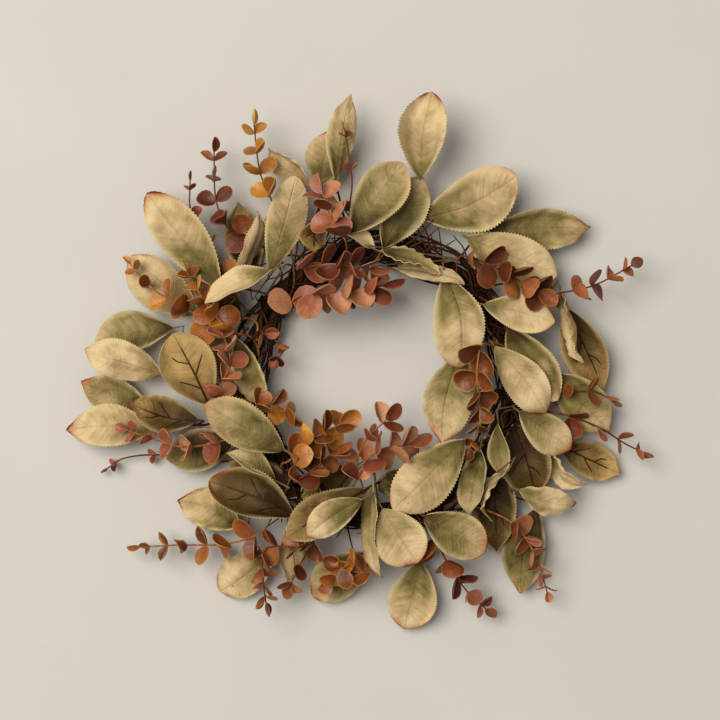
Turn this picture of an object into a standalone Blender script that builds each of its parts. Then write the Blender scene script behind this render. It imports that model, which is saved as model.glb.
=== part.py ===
"""Eucalyptus wreath: three twisted vines bound into a ring, with sage leaf sprays and rust sprigs.

The wreath lies on its back on a table, +Z up, with its origin at the middle of its box on the table.
Every leaf and sprig has its place on a plan, a square of 720 x 720 plan units seen from straight
above, x to the right and y downwards, and a height above the table in millimetres.
"""

import math
import random
from collections import namedtuple

import bpy
from mathutils import Matrix, Vector
from mathutils.bvhtree import BVHTree
from mathutils.geometry import interpolate_bezier

MM = 0.001
UP = Vector((0, 0, 1))
GAP = 0.3 * MM  # what touches keeps this much air

# The plan
PLAN_UNIT = 0.65 * MM  # one plan unit on the table
PLAN_MIDDLE = (360, 360)
PLAN_EYE = 1300 * MM  # height of the eye that the plan is drawn from
ORIGIN_ON_PLAN = (360.52, 363.04)

# The ring of three vines
RING_ON_PLAN = (380, 382)
RING_RADIUS = 84.5 * MM
VINES = 3
VINE_RADIUS = 3.2 * MM
VINE_OFFSET = 3.95 * MM  # from the middle of the bundle to the middle of a vine
VINE_TWISTS = 4
VINE_PHASE = math.radians(-70)  # puts the foot of a vine at each band
VINE_STEPS = 48
VINE_SIDES = 5
BUNDLE_RADIUS = VINE_OFFSET + VINE_RADIUS

# The bands that tie stems to the vines
TIE_ANGLES = (85, 145, 205, 235, 295, 355)
TIE_WIDTH = 5 * MM
TIE_WALL = 0.8 * MM
TIE_CORNERS = 10
RING_HEIGHT = BUNDLE_RADIUS + GAP + TIE_WALL

# Stems: each starts as a stub that lies along the top of a vine
SPRAY_STEM_RADIUS = 1.0 * MM
SPRIG_STEM_RADIUS = 0.8 * MM
STEM_SIDES = 4
STUB_TURN = math.radians(7)
STUB_REACH = BUNDLE_RADIUS + GAP + SPRAY_STEM_RADIUS
STUB_LOWEST, STUB_HIGHEST = math.radians(-15), math.radians(195)
STUB_RISE = 4 * MM
STUB_POINTS = 3

# Sage leaves
BLADE_WALL = 0.8 * MM
BLADE_ROWS = 5
PETIOLE_HALF_WIDTH = 0.7 * MM
PETIOLE_BEND = 10 * MM  # at most this far before the blade, a petiole turns into its line
PETIOLE_STRAIGHT = 6 * MM  # a shorter one has no bend
NOTCH_DEPTH = 0.07  # of half the width
LEAF_TWIST = 18  # degrees, at most
LEAF_WAVE = (0.6, 1.6)  # least and most height of the waves near an edge, in mm
LEAF_WAVES = (2.4, 4)  # half waves from base to tip
BLADE_SPREAD = {"pointed": (1.12, 0.68), "round": (1.3, 0.54)}  # where it is widest, how blunt it ends

# Rust leaflets: outlines as distance along and half width, in shares of the length
LEAFLET_WALL = 0.8 * MM
LEAFLET_NECK = 0.6 * MM
LARGE_OUTLINE = ((0.42, 0.5), (0.88, 0.31))
SMALL_OUTLINE = ((0.5, 0.46), (1, 0))
SMALL_LEAFLET = 11.5 * MM
NODE_HALF_LENGTH = 0.6 * MM
FIRST_PAIR, LAST_PAIR = 0.06, 0.92  # shares of the leafy length
CROWDING = 0.85  # under 1, the pairs stand closer together near the end

# Keeping pieces clear of each other
SPARE = 0.5 * MM  # added to a wall while its place is tried
NECK_FREE = 1.5 * MM  # how far from its root a leaflet must be clear of its own sprig
LOWEST = 1.2 * MM  # nothing but the ties is lower than this
LIFT_STEP = 1.5
LIFTS_DOWN, LIFTS_UP = 5, 12
STUB_SEARCH = 30  # degrees
STUB_TRIES = 24
ENTRY_SHIFTS = sorted(
    ((x, y, z) for x in (-24, -12, 0, 12, 24) for y in (-24, -12, 0, 12, 24) for z in (-5, 0, 5)),
    key=lambda shift: math.hypot(*shift))
LEAFLET_LEANS = (58, 44, 70, 34, 82)  # degrees from the stem
LEAFLET_LEAN_DRAW, LEAFLET_TWIST_DRAW = 7, 20  # degrees either way
LEAFLET_OPEN = (0.3, 1.6)  # how much a leaflet's face looks up
LEAFLET_TURNS = (0, 16, -16, 32, -32)
LEAFLET_TWISTS = (0, 25, -25)
LEAFLET_SCALES = (1, 0.82, 0.66)

Leaf = namedtuple("Leaf", "base tip width heights roll cup arch shape fold")
Spray = namedtuple("Spray", "name ring path leaves")
Sprig = namedtuple("Sprig", "name ring path pairs sizes phase colour")


def leaf(base, tip, width, heights, roll=0, cup=-0.3, arch=3, shape="pointed", fold=0):
    """A sage leaf: base and tip on the plan, width and heights of both ends in mm, roll in degrees,
    cup as the bend from the midrib to an edge in radians, and arch in mm. A fold is what one half
    bends up more, in radians: the right half seen from the base, or the left one if it is negative."""
    return Leaf(base, tip, width, heights, roll, cup, arch, shape, fold)


# Name, degrees round the ring, path of the stem as places on the plan with heights, and leaves
SPRAYS = [
    Spray("sage_spray_01", 72, [(418, 225, 24), (422, 190, 24)], [
        leaf((420, 178), (433, 92), 32, (24, 34), -10, 0.6, 3, "round"),
        leaf((424, 218), (517, 176), 41, (25, 30), 8, -0.4, 5, "round"),
        leaf((383, 248), (424, 176), 31, (24, 26), 12, -0.35, 4),
    ]),
    Spray("sage_spray_02", 102, [(346, 222, 22), (338, 192, 20)], [
        leaf((336, 180), (350, 94), 20, (22, 26), 14, -0.5),
        leaf((320, 186), (331, 130), 28, (13, 16), -6, -0.35),
        leaf((352, 232), (404, 163), 35, (30, 34), -10, 0.45, 3, "round"),
        leaf((312, 186), (267, 150), 18, (18, 24), -30, 1.1, 2),
        leaf((322, 222), (375, 248), 18, (30, 30), -45, 0.5, 3),
    ]),
    Spray("sage_spray_03", 126, [(285, 255, 18)], [
        leaf((270, 270), (296, 176), 27, (24, 27), 14, -0.5, 4, "round"),
        leaf((250, 285), (238, 202), 27, (12, 12), 10, -0.4),
        leaf((230, 290), (264, 214), 24, (24, 28), 72, -0.3, 2),
        leaf((318, 219), (314, 252), 18, (26, 24), -20, 0.4, 2),
    ]),
    Spray("sage_spray_04", 148, [(236, 298, 19)], [
        leaf((220, 288), (147, 193), 34, (22, 27), 4, -0.45, 4, "round", 1.3),
        leaf((198, 314), (129, 257), 37, (14, 18), -4, -0.25, 2, "round", 1.5),
        leaf((272, 270), (205, 303), 26, (30, 30), 48, 0.5, 3),
        leaf((240, 316), (188, 250), 30, (10, 10), 0, -0.3, 2),
    ]),
    Spray("sage_spray_05", 170, [(215, 350, 18), (180, 350, 16)], [
        leaf((172, 328), (95, 341), 28, (14, 12), 8, -0.4, 3, "round"),
        leaf((162, 374), (84, 350), 27, (19, 20), -8, -0.4, 4),
        leaf((208, 404), (173, 334), 38, (27, 32), 6, 0.3, 3, "round"),
        leaf((236, 338), (264, 409), 23, (24, 24), 14, -0.35),
        leaf((250, 402), (214, 330), 28, (12, 12), 0, -0.3, 2),
    ]),
    Spray("sage_spray_06", 197, [(205, 425, 15), (170, 420, 14)], [
        leaf((152, 411), (80, 382), 27, (11, 10), -6, -0.4),
        leaf((154, 431), (67, 430), 29, (17, 15), 6, -0.4, 4),
        leaf((198, 420), (130, 403), 27, (22, 22), 10, 0.5, 2),
        leaf((236, 440), (166, 459), 29, (11, 9), 0, -0.2),
    ]),
    Spray("sage_spray_07", 221, [(268, 500, 17), (250, 515, 15)], [
        leaf((284, 450), (205, 404), 33, (31, 34), -10, -0.55, 5, "round"),
        leaf((294, 517), (209, 481), 38, (22, 25), 18, 0.9, 2, "round"),
        leaf((240, 527), (178, 500), 28, (13, 11), 0, -0.4),
        leaf((275, 480), (226, 453), 20, (26, 28), 50, 0.3, 3),
        leaf((297, 497), (228, 462), 25, (18, 21), 15, 0.5, 2),
    ]),
    Spray("sage_spray_08", 246, [(310, 525, 16), (290, 540, 13)], [
        leaf((274, 552), (219, 593), 29, (11, 8), 0, -0.35, 3, "round"),
        leaf((288, 526), (293, 583), 23, (26, 20), -30, -0.3, 2),
        leaf((366, 490), (287, 538), 30, (24, 25), 24, 0.6, 3, "round"),
        leaf((362, 500), (307, 535), 24, (34, 35), 0, -1.0, 4, "round"),
        leaf((352, 468), (300, 498), 24, (10, 10), 0, -0.3, 2),
    ]),
    Spray("sage_spray_09", 266, [(372, 535, 14)], [
        leaf((370, 554), (313, 597), 31, (11, 8), 0, -0.35, 3, "round"),
        leaf((374, 482), (376, 579), 25, (30, 27), 58, 0.5, 3),
        leaf((383, 509), (418, 563), 34, (33, 34), 0, 0.35, 4, "round"),
        leaf((405, 470), (378, 492), 18, (20, 20), 0, -0.3, 2),
    ]),
    Spray("sage_spray_10", 286, [(424, 535, 13)], [
        leaf((421, 562), (405, 629), 33, (11, 9), 0, -0.35, 3, "round"),
        leaf((424, 516), (485, 552), 32, (29, 32), 0, 0.5, 4, "round"),
    ]),
    Spray("sage_spray_11", 306, [(490, 490, 16), (525, 500, 13)], [
        leaf((480, 448), (466, 516), 21, (25, 28), 30, 0.3, 2),
        leaf((492, 452), (497, 552), 32, (12, 10), 0, 0.3, 2),
        leaf((536, 508), (521, 593), 30, (12, 9), 6, -0.35),
        leaf((520, 490), (577, 506), 22, (26, 22), 18, -0.5, 3),
        leaf((508, 470), (481, 516), 18, (20, 24), 75, 0.2, 2),
    ]),
    Spray("sage_spray_12", 328, [(509, 443, 17), (534, 450, 16)], [
        leaf((464, 440), (393, 510), 37, (34, 37), 6, -0.45, 5, "round"),
        leaf((514, 424), (535, 498), 38, (14, 16), 0, 0.6, 2),
        leaf((547, 450), (580, 490), 18, (18, 21), 60, 0.3, 2),
    ]),
    Spray("sage_spray_13", 348, [(535, 400, 14), (550, 420, 12)], [
        leaf((556, 374), (610, 432), 33, (14, 16), 8, -0.4, 4),
        leaf((560, 446), (620, 474), 25, (10, 9), 0, 0.4, 2),
        leaf((520, 412), (571, 449), 27, (24, 25), -6, -0.5, 4, "round"),
        leaf((498, 424), (503, 478), 16, (20, 21), 30, 0.2, 2),
    ]),
    Spray("sage_spray_14", 9, [(510, 345, 20)], [
        leaf((495, 347), (546, 413), 30, (28, 31), 8, -0.55, 5, "round"),
        leaf((508, 328), (557, 401), 32, (22, 23), -8, -0.4, 4, "round"),
        leaf((462, 352), (442, 443), 33, (25, 27), 0, 0.3, 3),
    ]),
    Spray("sage_spray_15", 30, [(520, 308, 18), (545, 300, 16)], [
        leaf((484, 305), (555, 322), 25, (30, 33), -6, -0.45, 4, "round"),
        leaf((560, 290), (575, 364), 22, (20, 24), 68, 0.2, 2),
        leaf((566, 308), (603, 390), 32, (12, 14), -12, 0.3, 2, "pointed", -1.2),
    ]),
    Spray("sage_spray_16", 50, [(462, 255, 19), (472, 242, 18)], [
        leaf((490, 230), (592, 229), 28, (16, 18), 8, -0.4, 4),
        leaf((467, 237), (557, 276), 36, (22, 24), 6, -0.4, 5, "round"),
        leaf((445, 276), (461, 366), 37, (30, 35), -6, -0.45, 5, "round"),
        leaf((380, 251), (440, 275), 15, (26, 28), -45, 0.2, 2),
        leaf((393, 268), (465, 280), 17, (25, 28), -50, 0.2, 2),
    ]),
]

# Name, degrees round the ring, path of the stem, pairs of leaflets, sizes of the first and the last,
# turn of the first pair in degrees, and colour
SPRIGS = [
    Sprig("rust_sprig_01", 143, [(252, 262, 20), (230, 230, 25), (216, 200, 27), (214, 152, 25)],
          5, (16, 10), 20, "burgundy"),
    Sprig("rust_sprig_02", 152, [(232, 270, 22), (207, 238, 27), (191, 212, 30), (190, 181, 29)],
          4, (12, 7), 70, "rust"),
    Sprig("rust_sprig_03", 131, [(284, 238, 24), (274, 205, 30), (260, 172, 32), (254, 125, 30)],
          5, (17, 11), 45, "mustard"),
    Sprig("rust_sprig_04", 158, [(222, 325, 26), (180, 306, 29), (152, 288, 28), (130, 264, 24)],
          5, (19, 7), 30, "orange"),
    Sprig("rust_sprig_05", 163, [(235, 332, 30), (212, 312, 34), (187, 272, 34)], 5, (16, 10), 60, "orange"),
    Sprig("rust_sprig_06", 137, [(268, 304, 32), (300, 296, 36), (345, 292, 37), (382, 286, 34)],
          8, (19, 16), 25, "pink"),
    Sprig("rust_sprig_07", 118, [(300, 268, 36), (330, 264, 39), (368, 268, 40)], 5, (17, 15), 0, "pink"),
    Sprig("rust_sprig_08", 165, [(262, 332, 28), (275, 340, 27), (283, 350, 26), (277, 360, 24)],
          3, (10, 7), 10, "burgundy"),
    Sprig("rust_sprig_09", 110, [(345, 240, 34), (331, 218, 37), (323, 194, 38)], 4, (17, 14), 40, "pink"),
    Sprig("rust_sprig_10", 95, [(362, 215, 36), (352, 180, 38), (345, 130, 36)], 3, (8, 6), 15, "burgundy"),
    Sprig("rust_sprig_11", 62, [(462, 256, 31), (500, 270, 34), (538, 292, 34)], 6, (17, 15), 5, "rust"),
    Sprig("rust_sprig_12", 40, [(520, 300, 28), (560, 293, 31), (595, 285, 31), (631, 266, 28)],
          6, (19, 9), 50, "burgundy"),
    Sprig("rust_sprig_13", 22, [(482, 345, 36), (477, 375, 39), (480, 420, 37), (470, 448, 34)],
          6, (18, 9), 35, "orange"),
    Sprig("rust_sprig_14", 226, [(290, 460, 34), (312, 440, 38), (340, 424, 37)],
          5, (17, 15), 15, "orange"),
    Sprig("rust_sprig_15", 234, [(295, 482, 34), (315, 468, 38), (334, 453, 38)], 4, (15, 14), 65, "rust"),
    Sprig("rust_sprig_16", 252, [(345, 480, 32), (370, 456, 36), (408, 444, 34)], 5, (17, 17), 30, "pink"),
    Sprig("rust_sprig_17", 244, [(345, 464, 38), (366, 440, 42), (386, 420, 42)], 3, (15, 14), 75, "pink"),
    Sprig("rust_sprig_18", 192, [(225, 440, 28), (185, 447, 30), (150, 438, 28), (127, 430, 26)],
          5, (16, 9), 20, "pink"),
    Sprig("rust_sprig_19", 206, [(215, 462, 10), (160, 455, 8), (125, 458, 7), (108, 468, 6)],
          3, (8, 6), 45, "burgundy"),
    Sprig("rust_sprig_20", 182, [(240, 390, 30), (230, 362, 36), (222, 332, 38)], 5, (15, 13), 55, "pink"),
    Sprig("rust_sprig_21", 188, [(242, 398, 34), (264, 404, 36), (288, 414, 35)], 4, (14, 13), 10, "orange"),
    Sprig("rust_sprig_22", 242, [(262, 532, 22), (225, 544, 21), (180, 545, 20), (140, 547, 17)],
          6, (17, 9), 25, "orange"),
    Sprig("rust_sprig_23", 240, [(280, 522, 32), (266, 548, 33), (263, 578, 30), (266, 603, 25)],
          6, (15, 10), 60, "rust"),
    Sprig("rust_sprig_24", 262, [(315, 540, 26), (300, 565, 26), (290, 586, 22)], 3, (14, 10), 0, "rust"),
    Sprig("rust_sprig_25", 262, [(368, 548, 26), (350, 564, 27), (332, 578, 25)],
          4, (15, 13), 50, "orange"),
    Sprig("rust_sprig_26", 290, [(432, 532, 22), (447, 562, 23), (466, 590, 20), (486, 609, 16)],
          5, (19, 9), 30, "rust"),
    Sprig("rust_sprig_27", 312, [(508, 508, 26), (527, 540, 27), (540, 568, 24), (547, 592, 18)],
          6, (15, 8), 15, "pink"),
    Sprig("rust_sprig_28", 342, [(565, 415, 26), (600, 428, 22), (624, 443, 20), (642, 452, 17)],
          4, (15, 9), 40, "burgundy"),
    Sprig("rust_sprig_29", 358, [(560, 380, 26), (592, 391, 24), (610, 399, 21)], 3, (12, 10), 65, "rust"),
]

SAGE_COLOUR = (0.50, 0.46, 0.29)
RUST_COLOURS = {
    "burgundy": (0.20, 0.07, 0.06),
    "rust": (0.38, 0.13, 0.07),
    "pink": (0.45, 0.18, 0.13),
    "orange": (0.50, 0.22, 0.07),
    "mustard": (0.55, 0.33, 0.08),
}
BARK_COLOUR = (0.05, 0.03, 0.025)
TIE_COLOUR = (0.07, 0.045, 0.035)


def spot(x, y, height):
    """The point in metres over a place on the plan, at a height in millimetres."""
    z = height * MM
    shrink = PLAN_UNIT * (PLAN_EYE - z) / PLAN_EYE
    return Vector((
        (x - PLAN_MIDDLE[0]) * shrink - (ORIGIN_ON_PLAN[0] - PLAN_MIDDLE[0]) * PLAN_UNIT,
        (PLAN_MIDDLE[1] - y) * shrink - (PLAN_MIDDLE[1] - ORIGIN_ON_PLAN[1]) * PLAN_UNIT,
        z,
    ))


def on_bundle(turn, lean, reach):
    """A point at an angle round the ring, then at an angle and a distance round the bundle's middle."""
    middle = spot(*RING_ON_PLAN, 0)
    middle.z = RING_HEIGHT
    outward = Vector((math.cos(turn), math.sin(turn), 0))
    return middle + outward * (RING_RADIUS + reach * math.cos(lean)) + UP * reach * math.sin(lean)


def crest(vine, turn):
    """Where round the bundle a vine lies at that angle round the ring."""
    return VINE_PHASE + 2 * math.pi * vine / VINES + VINE_TWISTS * turn


def directions(points, closed=False):
    """The direction of a path at each of its points."""
    count = len(points)
    found = []
    for i, point in enumerate(points):
        before = points[i - 1] if i or closed else point
        after = points[(i + 1) % count] if i < count - 1 or closed else point
        found.append((after - before).normalized())
    return found


def carried(alongs):
    """Directions square to a path, carried along it without twisting."""
    normal = alongs[0].orthogonal()
    found = []
    for along in alongs:
        normal = (normal - along * normal.dot(along)).normalized()
        found.append(normal)
    return found


def tube(points, radius, sides, alongs=None, normals=None, closed=False, capped=True):
    """A tube of few sides along points. One corner of each section lies on its normal."""
    alongs = alongs or directions(points, closed)
    normals = normals or carried(alongs)
    corners, faces = [], []
    for point, along, normal in zip(points, alongs, normals):
        normal = (normal - along * normal.dot(along)).normalized()
        across = along.cross(normal)
        for k in range(sides):
            angle = 2 * math.pi * k / sides
            corners.append(point + (normal * math.cos(angle) + across * math.sin(angle)) * radius)
    count = len(points)
    for i in range(count if closed else count - 1):
        here, there = i * sides, (i + 1) % count * sides
        for k in range(sides):
            n = (k + 1) % sides
            faces += [(here + k, here + n, there + n), (here + k, there + n, there + k)]
    if not closed:
        last = (count - 1) * sides
        for k in range(1, sides - 1):
            faces.append((0, k + 1, k))
            if capped:
                faces.append((last, last + k, last + k + 1))
    return corners, faces


def strip(near, far):
    """Triangles between two rows of corners that both run from left to right."""
    faces = []
    i = j = 0
    while i < len(near) - 1 or j < len(far) - 1:
        if j == len(far) - 1 or (i < len(near) - 1 and (i + 1) * len(far) <= (j + 1) * len(near)):
            faces.append((near[i], near[i + 1], far[j]))
            i += 1
        else:
            faces.append((near[i], far[j + 1], far[j]))
            j += 1
    return faces


def slab_faces(fronts, backs, capped=True):
    """The skin of a thin slab given as rows of corners on its front and on its back."""
    faces = []
    for near, far, near_back, far_back in zip(fronts, fronts[1:], backs, backs[1:]):
        faces += strip(near, far)
        faces += [(c, b, a) for a, b, c in strip(near_back, far_back)]
        right, right_far, right_back, right_far_back = near[-1], far[-1], near_back[-1], far_back[-1]
        faces += [(right_far, right, right_back), (right_far, right_back, right_far_back)]
        left, left_far, left_back, left_far_back = near[0], far[0], near_back[0], far_back[0]
        faces += [(left, left_far, left_far_back), (left, left_far_back, left_back)]
    ends = [(fronts[0], backs[0], False)] if capped else []
    if len(fronts[-1]) > 1:
        ends.append((fronts[-1], backs[-1], True))
    for front, back, flip in ends:
        for k in range(len(front) - 1):
            pair = [(front[k + 1], front[k], back[k]), (front[k + 1], back[k], back[k + 1])]
            faces += [face[::-1] if flip else face for face in pair]
    return faces


def slab(rows):
    """A closed slab from rows of (front points, back points)."""
    corners, fronts, backs = [], [], []
    for front, back in rows:
        fronts.append(list(range(len(corners), len(corners) + len(front))))
        corners += front
        backs.append(list(range(len(corners), len(corners) + len(back))))
        corners += back
    return corners, slab_faces(fronts, backs)


def slab_row(points, normals, wall):
    """One row of a slab: points moved half a wall to the front and to the back."""
    return ([p + n * wall / 2 for p, n in zip(points, normals)],
            [p - n * wall / 2 for p, n in zip(points, normals)])


def smooth_path(points, steps):
    """Points along a smooth curve through the given points, a Catmull-Rom spline as Bezier pieces."""
    full = [points[0] * 2 - points[1], *points, points[-1] * 2 - points[-2]]
    path = [points[0]]
    for a, b, c, d in zip(full, full[1:], full[2:], full[3:]):
        path += interpolate_bezier(b, b + (c - a) / 6, c - (d - b) / 6, c, steps + 1)[1:]
    return path


def along_path(path, share):
    """The point and the direction at a share of a path's length."""
    lengths = [(b - a).length for a, b in zip(path, path[1:])]
    left = share * sum(lengths)
    for a, b, length in zip(path, path[1:], lengths):
        if left <= length:
            return a.lerp(b, left / length), (b - a).normalized()
        left -= length
    return path[-1].copy(), (path[-1] - path[-2]).normalized()


def nearest_on_path(path, point):
    """The point of a path nearest to another point."""
    def closest(a, b):
        share = max(0, min(1, (point - a).dot(b - a) / (b - a).length_squared))
        return a.lerp(b, share)
    return min((closest(a, b) for a, b in zip(path, path[1:])), key=lambda p: (p - point).length)


def blade_frame(blade, lifts, twist, wave):
    """Where a blade lies: its two ends, the directions across and out of it, and its bends."""
    start = spot(*blade.base, blade.heights[0] + lifts[0])
    end = spot(*blade.tip, blade.heights[1] + lifts[1])
    along = (end - start).normalized()
    across = along.cross(UP).normalized()
    return start, end, along, across, across.cross(along), twist, wave


def blade_width(blade, u):
    """Half the blade's width at a share of its length."""
    widest, blunt = BLADE_SPREAD[blade.shape]
    return blade.width * MM / 2 * math.sin(math.pi * min(1, u) ** widest) ** blunt


def blade_point(blade, frame, u, v, half):
    """A point of the blade: u runs from its base to its tip, v from edge to edge, and its normal."""
    start, end, along, across, out, twist, wave = frame
    turn = Matrix.Rotation(math.radians(blade.roll) + twist * (u - 0.5), 3, along)
    across, out = turn @ across, turn @ out
    curl = blade.cup + (abs(blade.fold) if v * blade.fold > 0 else 0)
    bend = curl * v
    side = half * math.sin(bend) / curl
    rise = half * (1 - math.cos(bend)) / curl
    rise += blade.arch * MM * 4 * u * (1 - u)
    rise += wave[0] * v * v * math.sin(math.pi * (wave[1] * u + wave[2] + 0.5 * v))
    normal = (out * math.cos(bend) - across * math.sin(bend)).normalized()
    return start.lerp(end, u) + across * side + out * rise, normal


def blade_rows(blade, frame, wall):
    """The blade as rows across it: a narrow base, rows with every second one a notch, and the tip."""
    rows = []
    for number in range(BLADE_ROWS + 2):
        u = number / (BLADE_ROWS + 1)
        half = blade_width(blade, u) * (1 - NOTCH_DEPTH * (number % 2 == 0))
        across = (-1, 0, 1)
        if number == 0:
            half, across = PETIOLE_HALF_WIDTH, (-1, 1)
        if number == BLADE_ROWS + 1:
            across = (0,)
        points, normals = zip(*(blade_point(blade, frame, u, v, half) for v in across))
        rows.append(slab_row(points, normals, wall))
    return rows


def petiole_points(frame, stem):
    """From the nearest point of the stem towards the blade's base."""
    start, along = frame[0], frame[2]
    root = nearest_on_path(stem, start)
    reach = (start - root).length
    if reach < PETIOLE_STRAIGHT:
        return [root]
    return [root, start - along * min(reach / 2, PETIOLE_BEND)]


def petiole_rows(blade, frame, points, spare=0):
    """Rows that carry the blade's base on to the stem. Their direction across turns with the path, so that
    a petiole that turns back isn't twisted."""
    across = (blade_point(blade, frame, 0, 1, PETIOLE_HALF_WIDTH)[0] - frame[0]).normalized()
    alongs = directions([*points, frame[0]])
    rows, before = [], frame[2]
    for point, along in zip(points[::-1], alongs[-2::-1]):
        across = before.rotation_difference(along) @ across
        before = along
        out = across.cross(along)
        sides = [point - across * PETIOLE_HALF_WIDTH, point + across * PETIOLE_HALF_WIDTH]
        rows.append(slab_row(sides, [out, out], PETIOLE_HALF_WIDTH * 2 + spare))
    return rows[::-1]


def leaflet_rows(root, along, out, size, wall, start):
    """A round leaflet as rows across it, the first one narrow at its start."""
    across = along.cross(out).normalized()
    out = across.cross(along)
    shares = LARGE_OUTLINE if size > SMALL_LEAFLET else SMALL_OUTLINE
    rows = []
    for reach, half in [(start, LEAFLET_NECK), *((size * a, size * b) for a, b in shares)]:
        middle = root + along * reach
        points = [middle - across * half, middle + across * half] if half else [middle]
        rows.append(slab_row(points, [out] * len(points), wall))
    return rows


def grow_leaflet(corners, faces, host, rows):
    """Joins a leaflet's rows to the four corners of the stem that it grows from."""
    front, back = rows[0]
    section = [front[0], front[1], back[1], back[0]]
    turns = [host[k:] + host[:k] for k in range(4)]
    host = min(turns, key=lambda t: sum((corners[i] - p).length for i, p in zip(t, section)))
    fronts, backs = [[host[0], host[1]]], [[host[3], host[2]]]
    for front, back in rows[1:]:
        fronts.append(list(range(len(corners), len(corners) + len(front))))
        corners += front
        backs.append(list(range(len(corners), len(corners) + len(back))))
        corners += back
    faces += slab_faces(fronts, backs, capped=False)


class Clearance:
    """Remembers the pieces that have a place, and says whether a new one would cross them."""

    def __init__(self):
        self.placed = []

    def add(self, node, kind, mesh):
        self.placed.append((node, kind, BVHTree.FromPolygons(*mesh), *box_of(mesh)))

    def is_clear(self, node, mesh, own_kinds=()):
        """Pieces of the same node count only if their kind is listed."""
        low, high = box_of(mesh)
        if low.z < LOWEST:
            return False
        tree = None
        for other, kind, other_tree, other_low, other_high in self.placed:
            if other == node and kind not in own_kinds:
                continue
            if any(low[k] > other_high[k] or high[k] < other_low[k] for k in range(3)):
                continue
            tree = tree or BVHTree.FromPolygons(*mesh)
            if tree.overlap(other_tree):
                return False
        return True


def box_of(mesh):
    """The lowest and the highest corner of a mesh's box."""
    corners = mesh[0]
    return tuple(Vector(pick(c[k] for c in corners) for k in range(3)) for pick in (min, max))


def lift_choices():
    """Pairs of lifts for the two ends of a piece, in millimetres, the smallest change first."""
    steps = range(-LIFTS_DOWN, LIFTS_UP + 1)
    pairs = [(a * LIFT_STEP, b * LIFT_STEP) for a in steps for b in steps]
    return sorted(pairs, key=lambda p: (abs(p[0]) + abs(p[1]) + 0.5 * abs(p[0] - p[1]), p))


def place_vines(room):
    """Three vines twisted round each other in a closed ring."""
    pieces = {}
    for vine in range(VINES):
        turns = [2 * math.pi * i / VINE_STEPS for i in range(VINE_STEPS)]
        middles = [on_bundle(t, crest(vine, t), VINE_OFFSET) for t in turns]
        outwards = [on_bundle(t, crest(vine, t), BUNDLE_RADIUS) - m for t, m in zip(turns, middles)]
        mesh = tube(middles, VINE_RADIUS, VINE_SIDES, normals=outwards, closed=True)
        name = f"vine_{vine + 1}"
        room.add(name, "vine", mesh)
        pieces[name] = [mesh]
    return pieces


def tie_section(reach_above, reach_below):
    """The loop of a band round the bundle, in radial and upward distances, with a flat foot."""
    loop = []
    for k in range(TIE_CORNERS):
        angle = 2 * math.pi * (k + 0.5) / TIE_CORNERS
        loop.append((reach_above * math.cos(angle), max(reach_above * math.sin(angle), -reach_below)))
    return loop


def place_ties(room):
    """Flat bands that hold the stems to the vines. The wreath rests on their flat feet."""
    pieces = {}
    inner_above = (STUB_REACH + SPRAY_STEM_RADIUS + GAP) / math.cos(math.pi / TIE_CORNERS)
    inner = tie_section(inner_above, BUNDLE_RADIUS + GAP)
    outer = tie_section(inner_above + TIE_WALL, RING_HEIGHT)
    for number, degrees in enumerate(TIE_ANGLES, 1):
        turn = math.radians(degrees)
        outward = Vector((math.cos(turn), math.sin(turn), 0))
        along = UP.cross(outward)
        middle = on_bundle(turn, 0, 0)
        corners = []
        for loop in (inner, outer):
            for shift in (-TIE_WIDTH / 2, TIE_WIDTH / 2):
                corners += [middle + outward * x + UP * z + along * shift for x, z in loop]
        n = TIE_CORNERS
        faces = []
        for k in range(n):
            m = (k + 1) % n
            in_a, in_b, in_c, in_d = k, m, n + m, n + k
            out_a, out_b, out_c, out_d = 2 * n + k, 2 * n + m, 3 * n + m, 3 * n + k
            faces += [(in_a, in_b, in_c), (in_a, in_c, in_d)]
            faces += [(out_a, out_c, out_b), (out_a, out_d, out_c)]
            faces += [(in_a, out_a, out_b), (in_a, out_b, in_b)]
            faces += [(in_d, in_c, out_c), (in_d, out_c, out_d)]
        name = f"tie_{number}"
        room.add(name, "tie", (corners, faces))
        pieces[name] = [(corners, faces)]
    return pieces


def stub_choices(degrees, first):
    """Short runs along the top of a vine near an angle of the ring, turned towards a stem's first point."""
    choices = []
    for shift in range(-STUB_SEARCH, STUB_SEARCH + 1, 2):
        turn = math.radians(degrees + shift)
        for vine in range(VINES):
            lean = (crest(vine, turn) + math.pi / 2) % (2 * math.pi) - math.pi / 2
            if not STUB_LOWEST < lean < STUB_HIGHEST:
                continue
            halves = (-STUB_TURN / 2, STUB_TURN / 2)
            run = [on_bundle(turn + h, crest(vine, turn + h), STUB_REACH) for h in halves]
            if (run[0] - first).length < (run[-1] - first).length:
                run.reverse()
            choices.append(((run[-1] - first).length + abs(shift) * MM, run))
    return [run for _, run in sorted(choices, key=lambda c: c[0])][:STUB_TRIES]


def place_stem(room, node, degrees, path, shape):
    """The way of a spray's or a sprig's stem: a stub on a vine, a rise, then the path. The path is
    lifted, and its first point moved aside, until nothing is crossed. The shape makes a mesh of a way."""
    for lift in sorted(range(-LIFTS_DOWN, LIFTS_UP + 1), key=abs):
        entry, *shown = [(x, y, height + lift * LIFT_STEP) for x, y, height in path]
        shown = [spot(*place) for place in shown]
        if len(shown) > 1 and not room.is_clear(node, tube(shown, SPRIG_STEM_RADIUS, STEM_SIDES)):
            continue
        for shift in ENTRY_SHIFTS:
            first = spot(*(place + aside for place, aside in zip(entry, shift)))
            for stub in stub_choices(degrees, first):
                rise = stub[1] + (stub[1] - stub[0]) / 2 + UP * STUB_RISE
                rise.xy = (rise.xy * 2 + first.xy) / 3
                way = [*stub, rise, first, *shown]
                if room.is_clear(node, shape(way, SPARE)):
                    room.add(node, "stem", shape(way, 0))
                    return way
    raise ValueError(f"{node}: its stem finds no way out")


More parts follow.
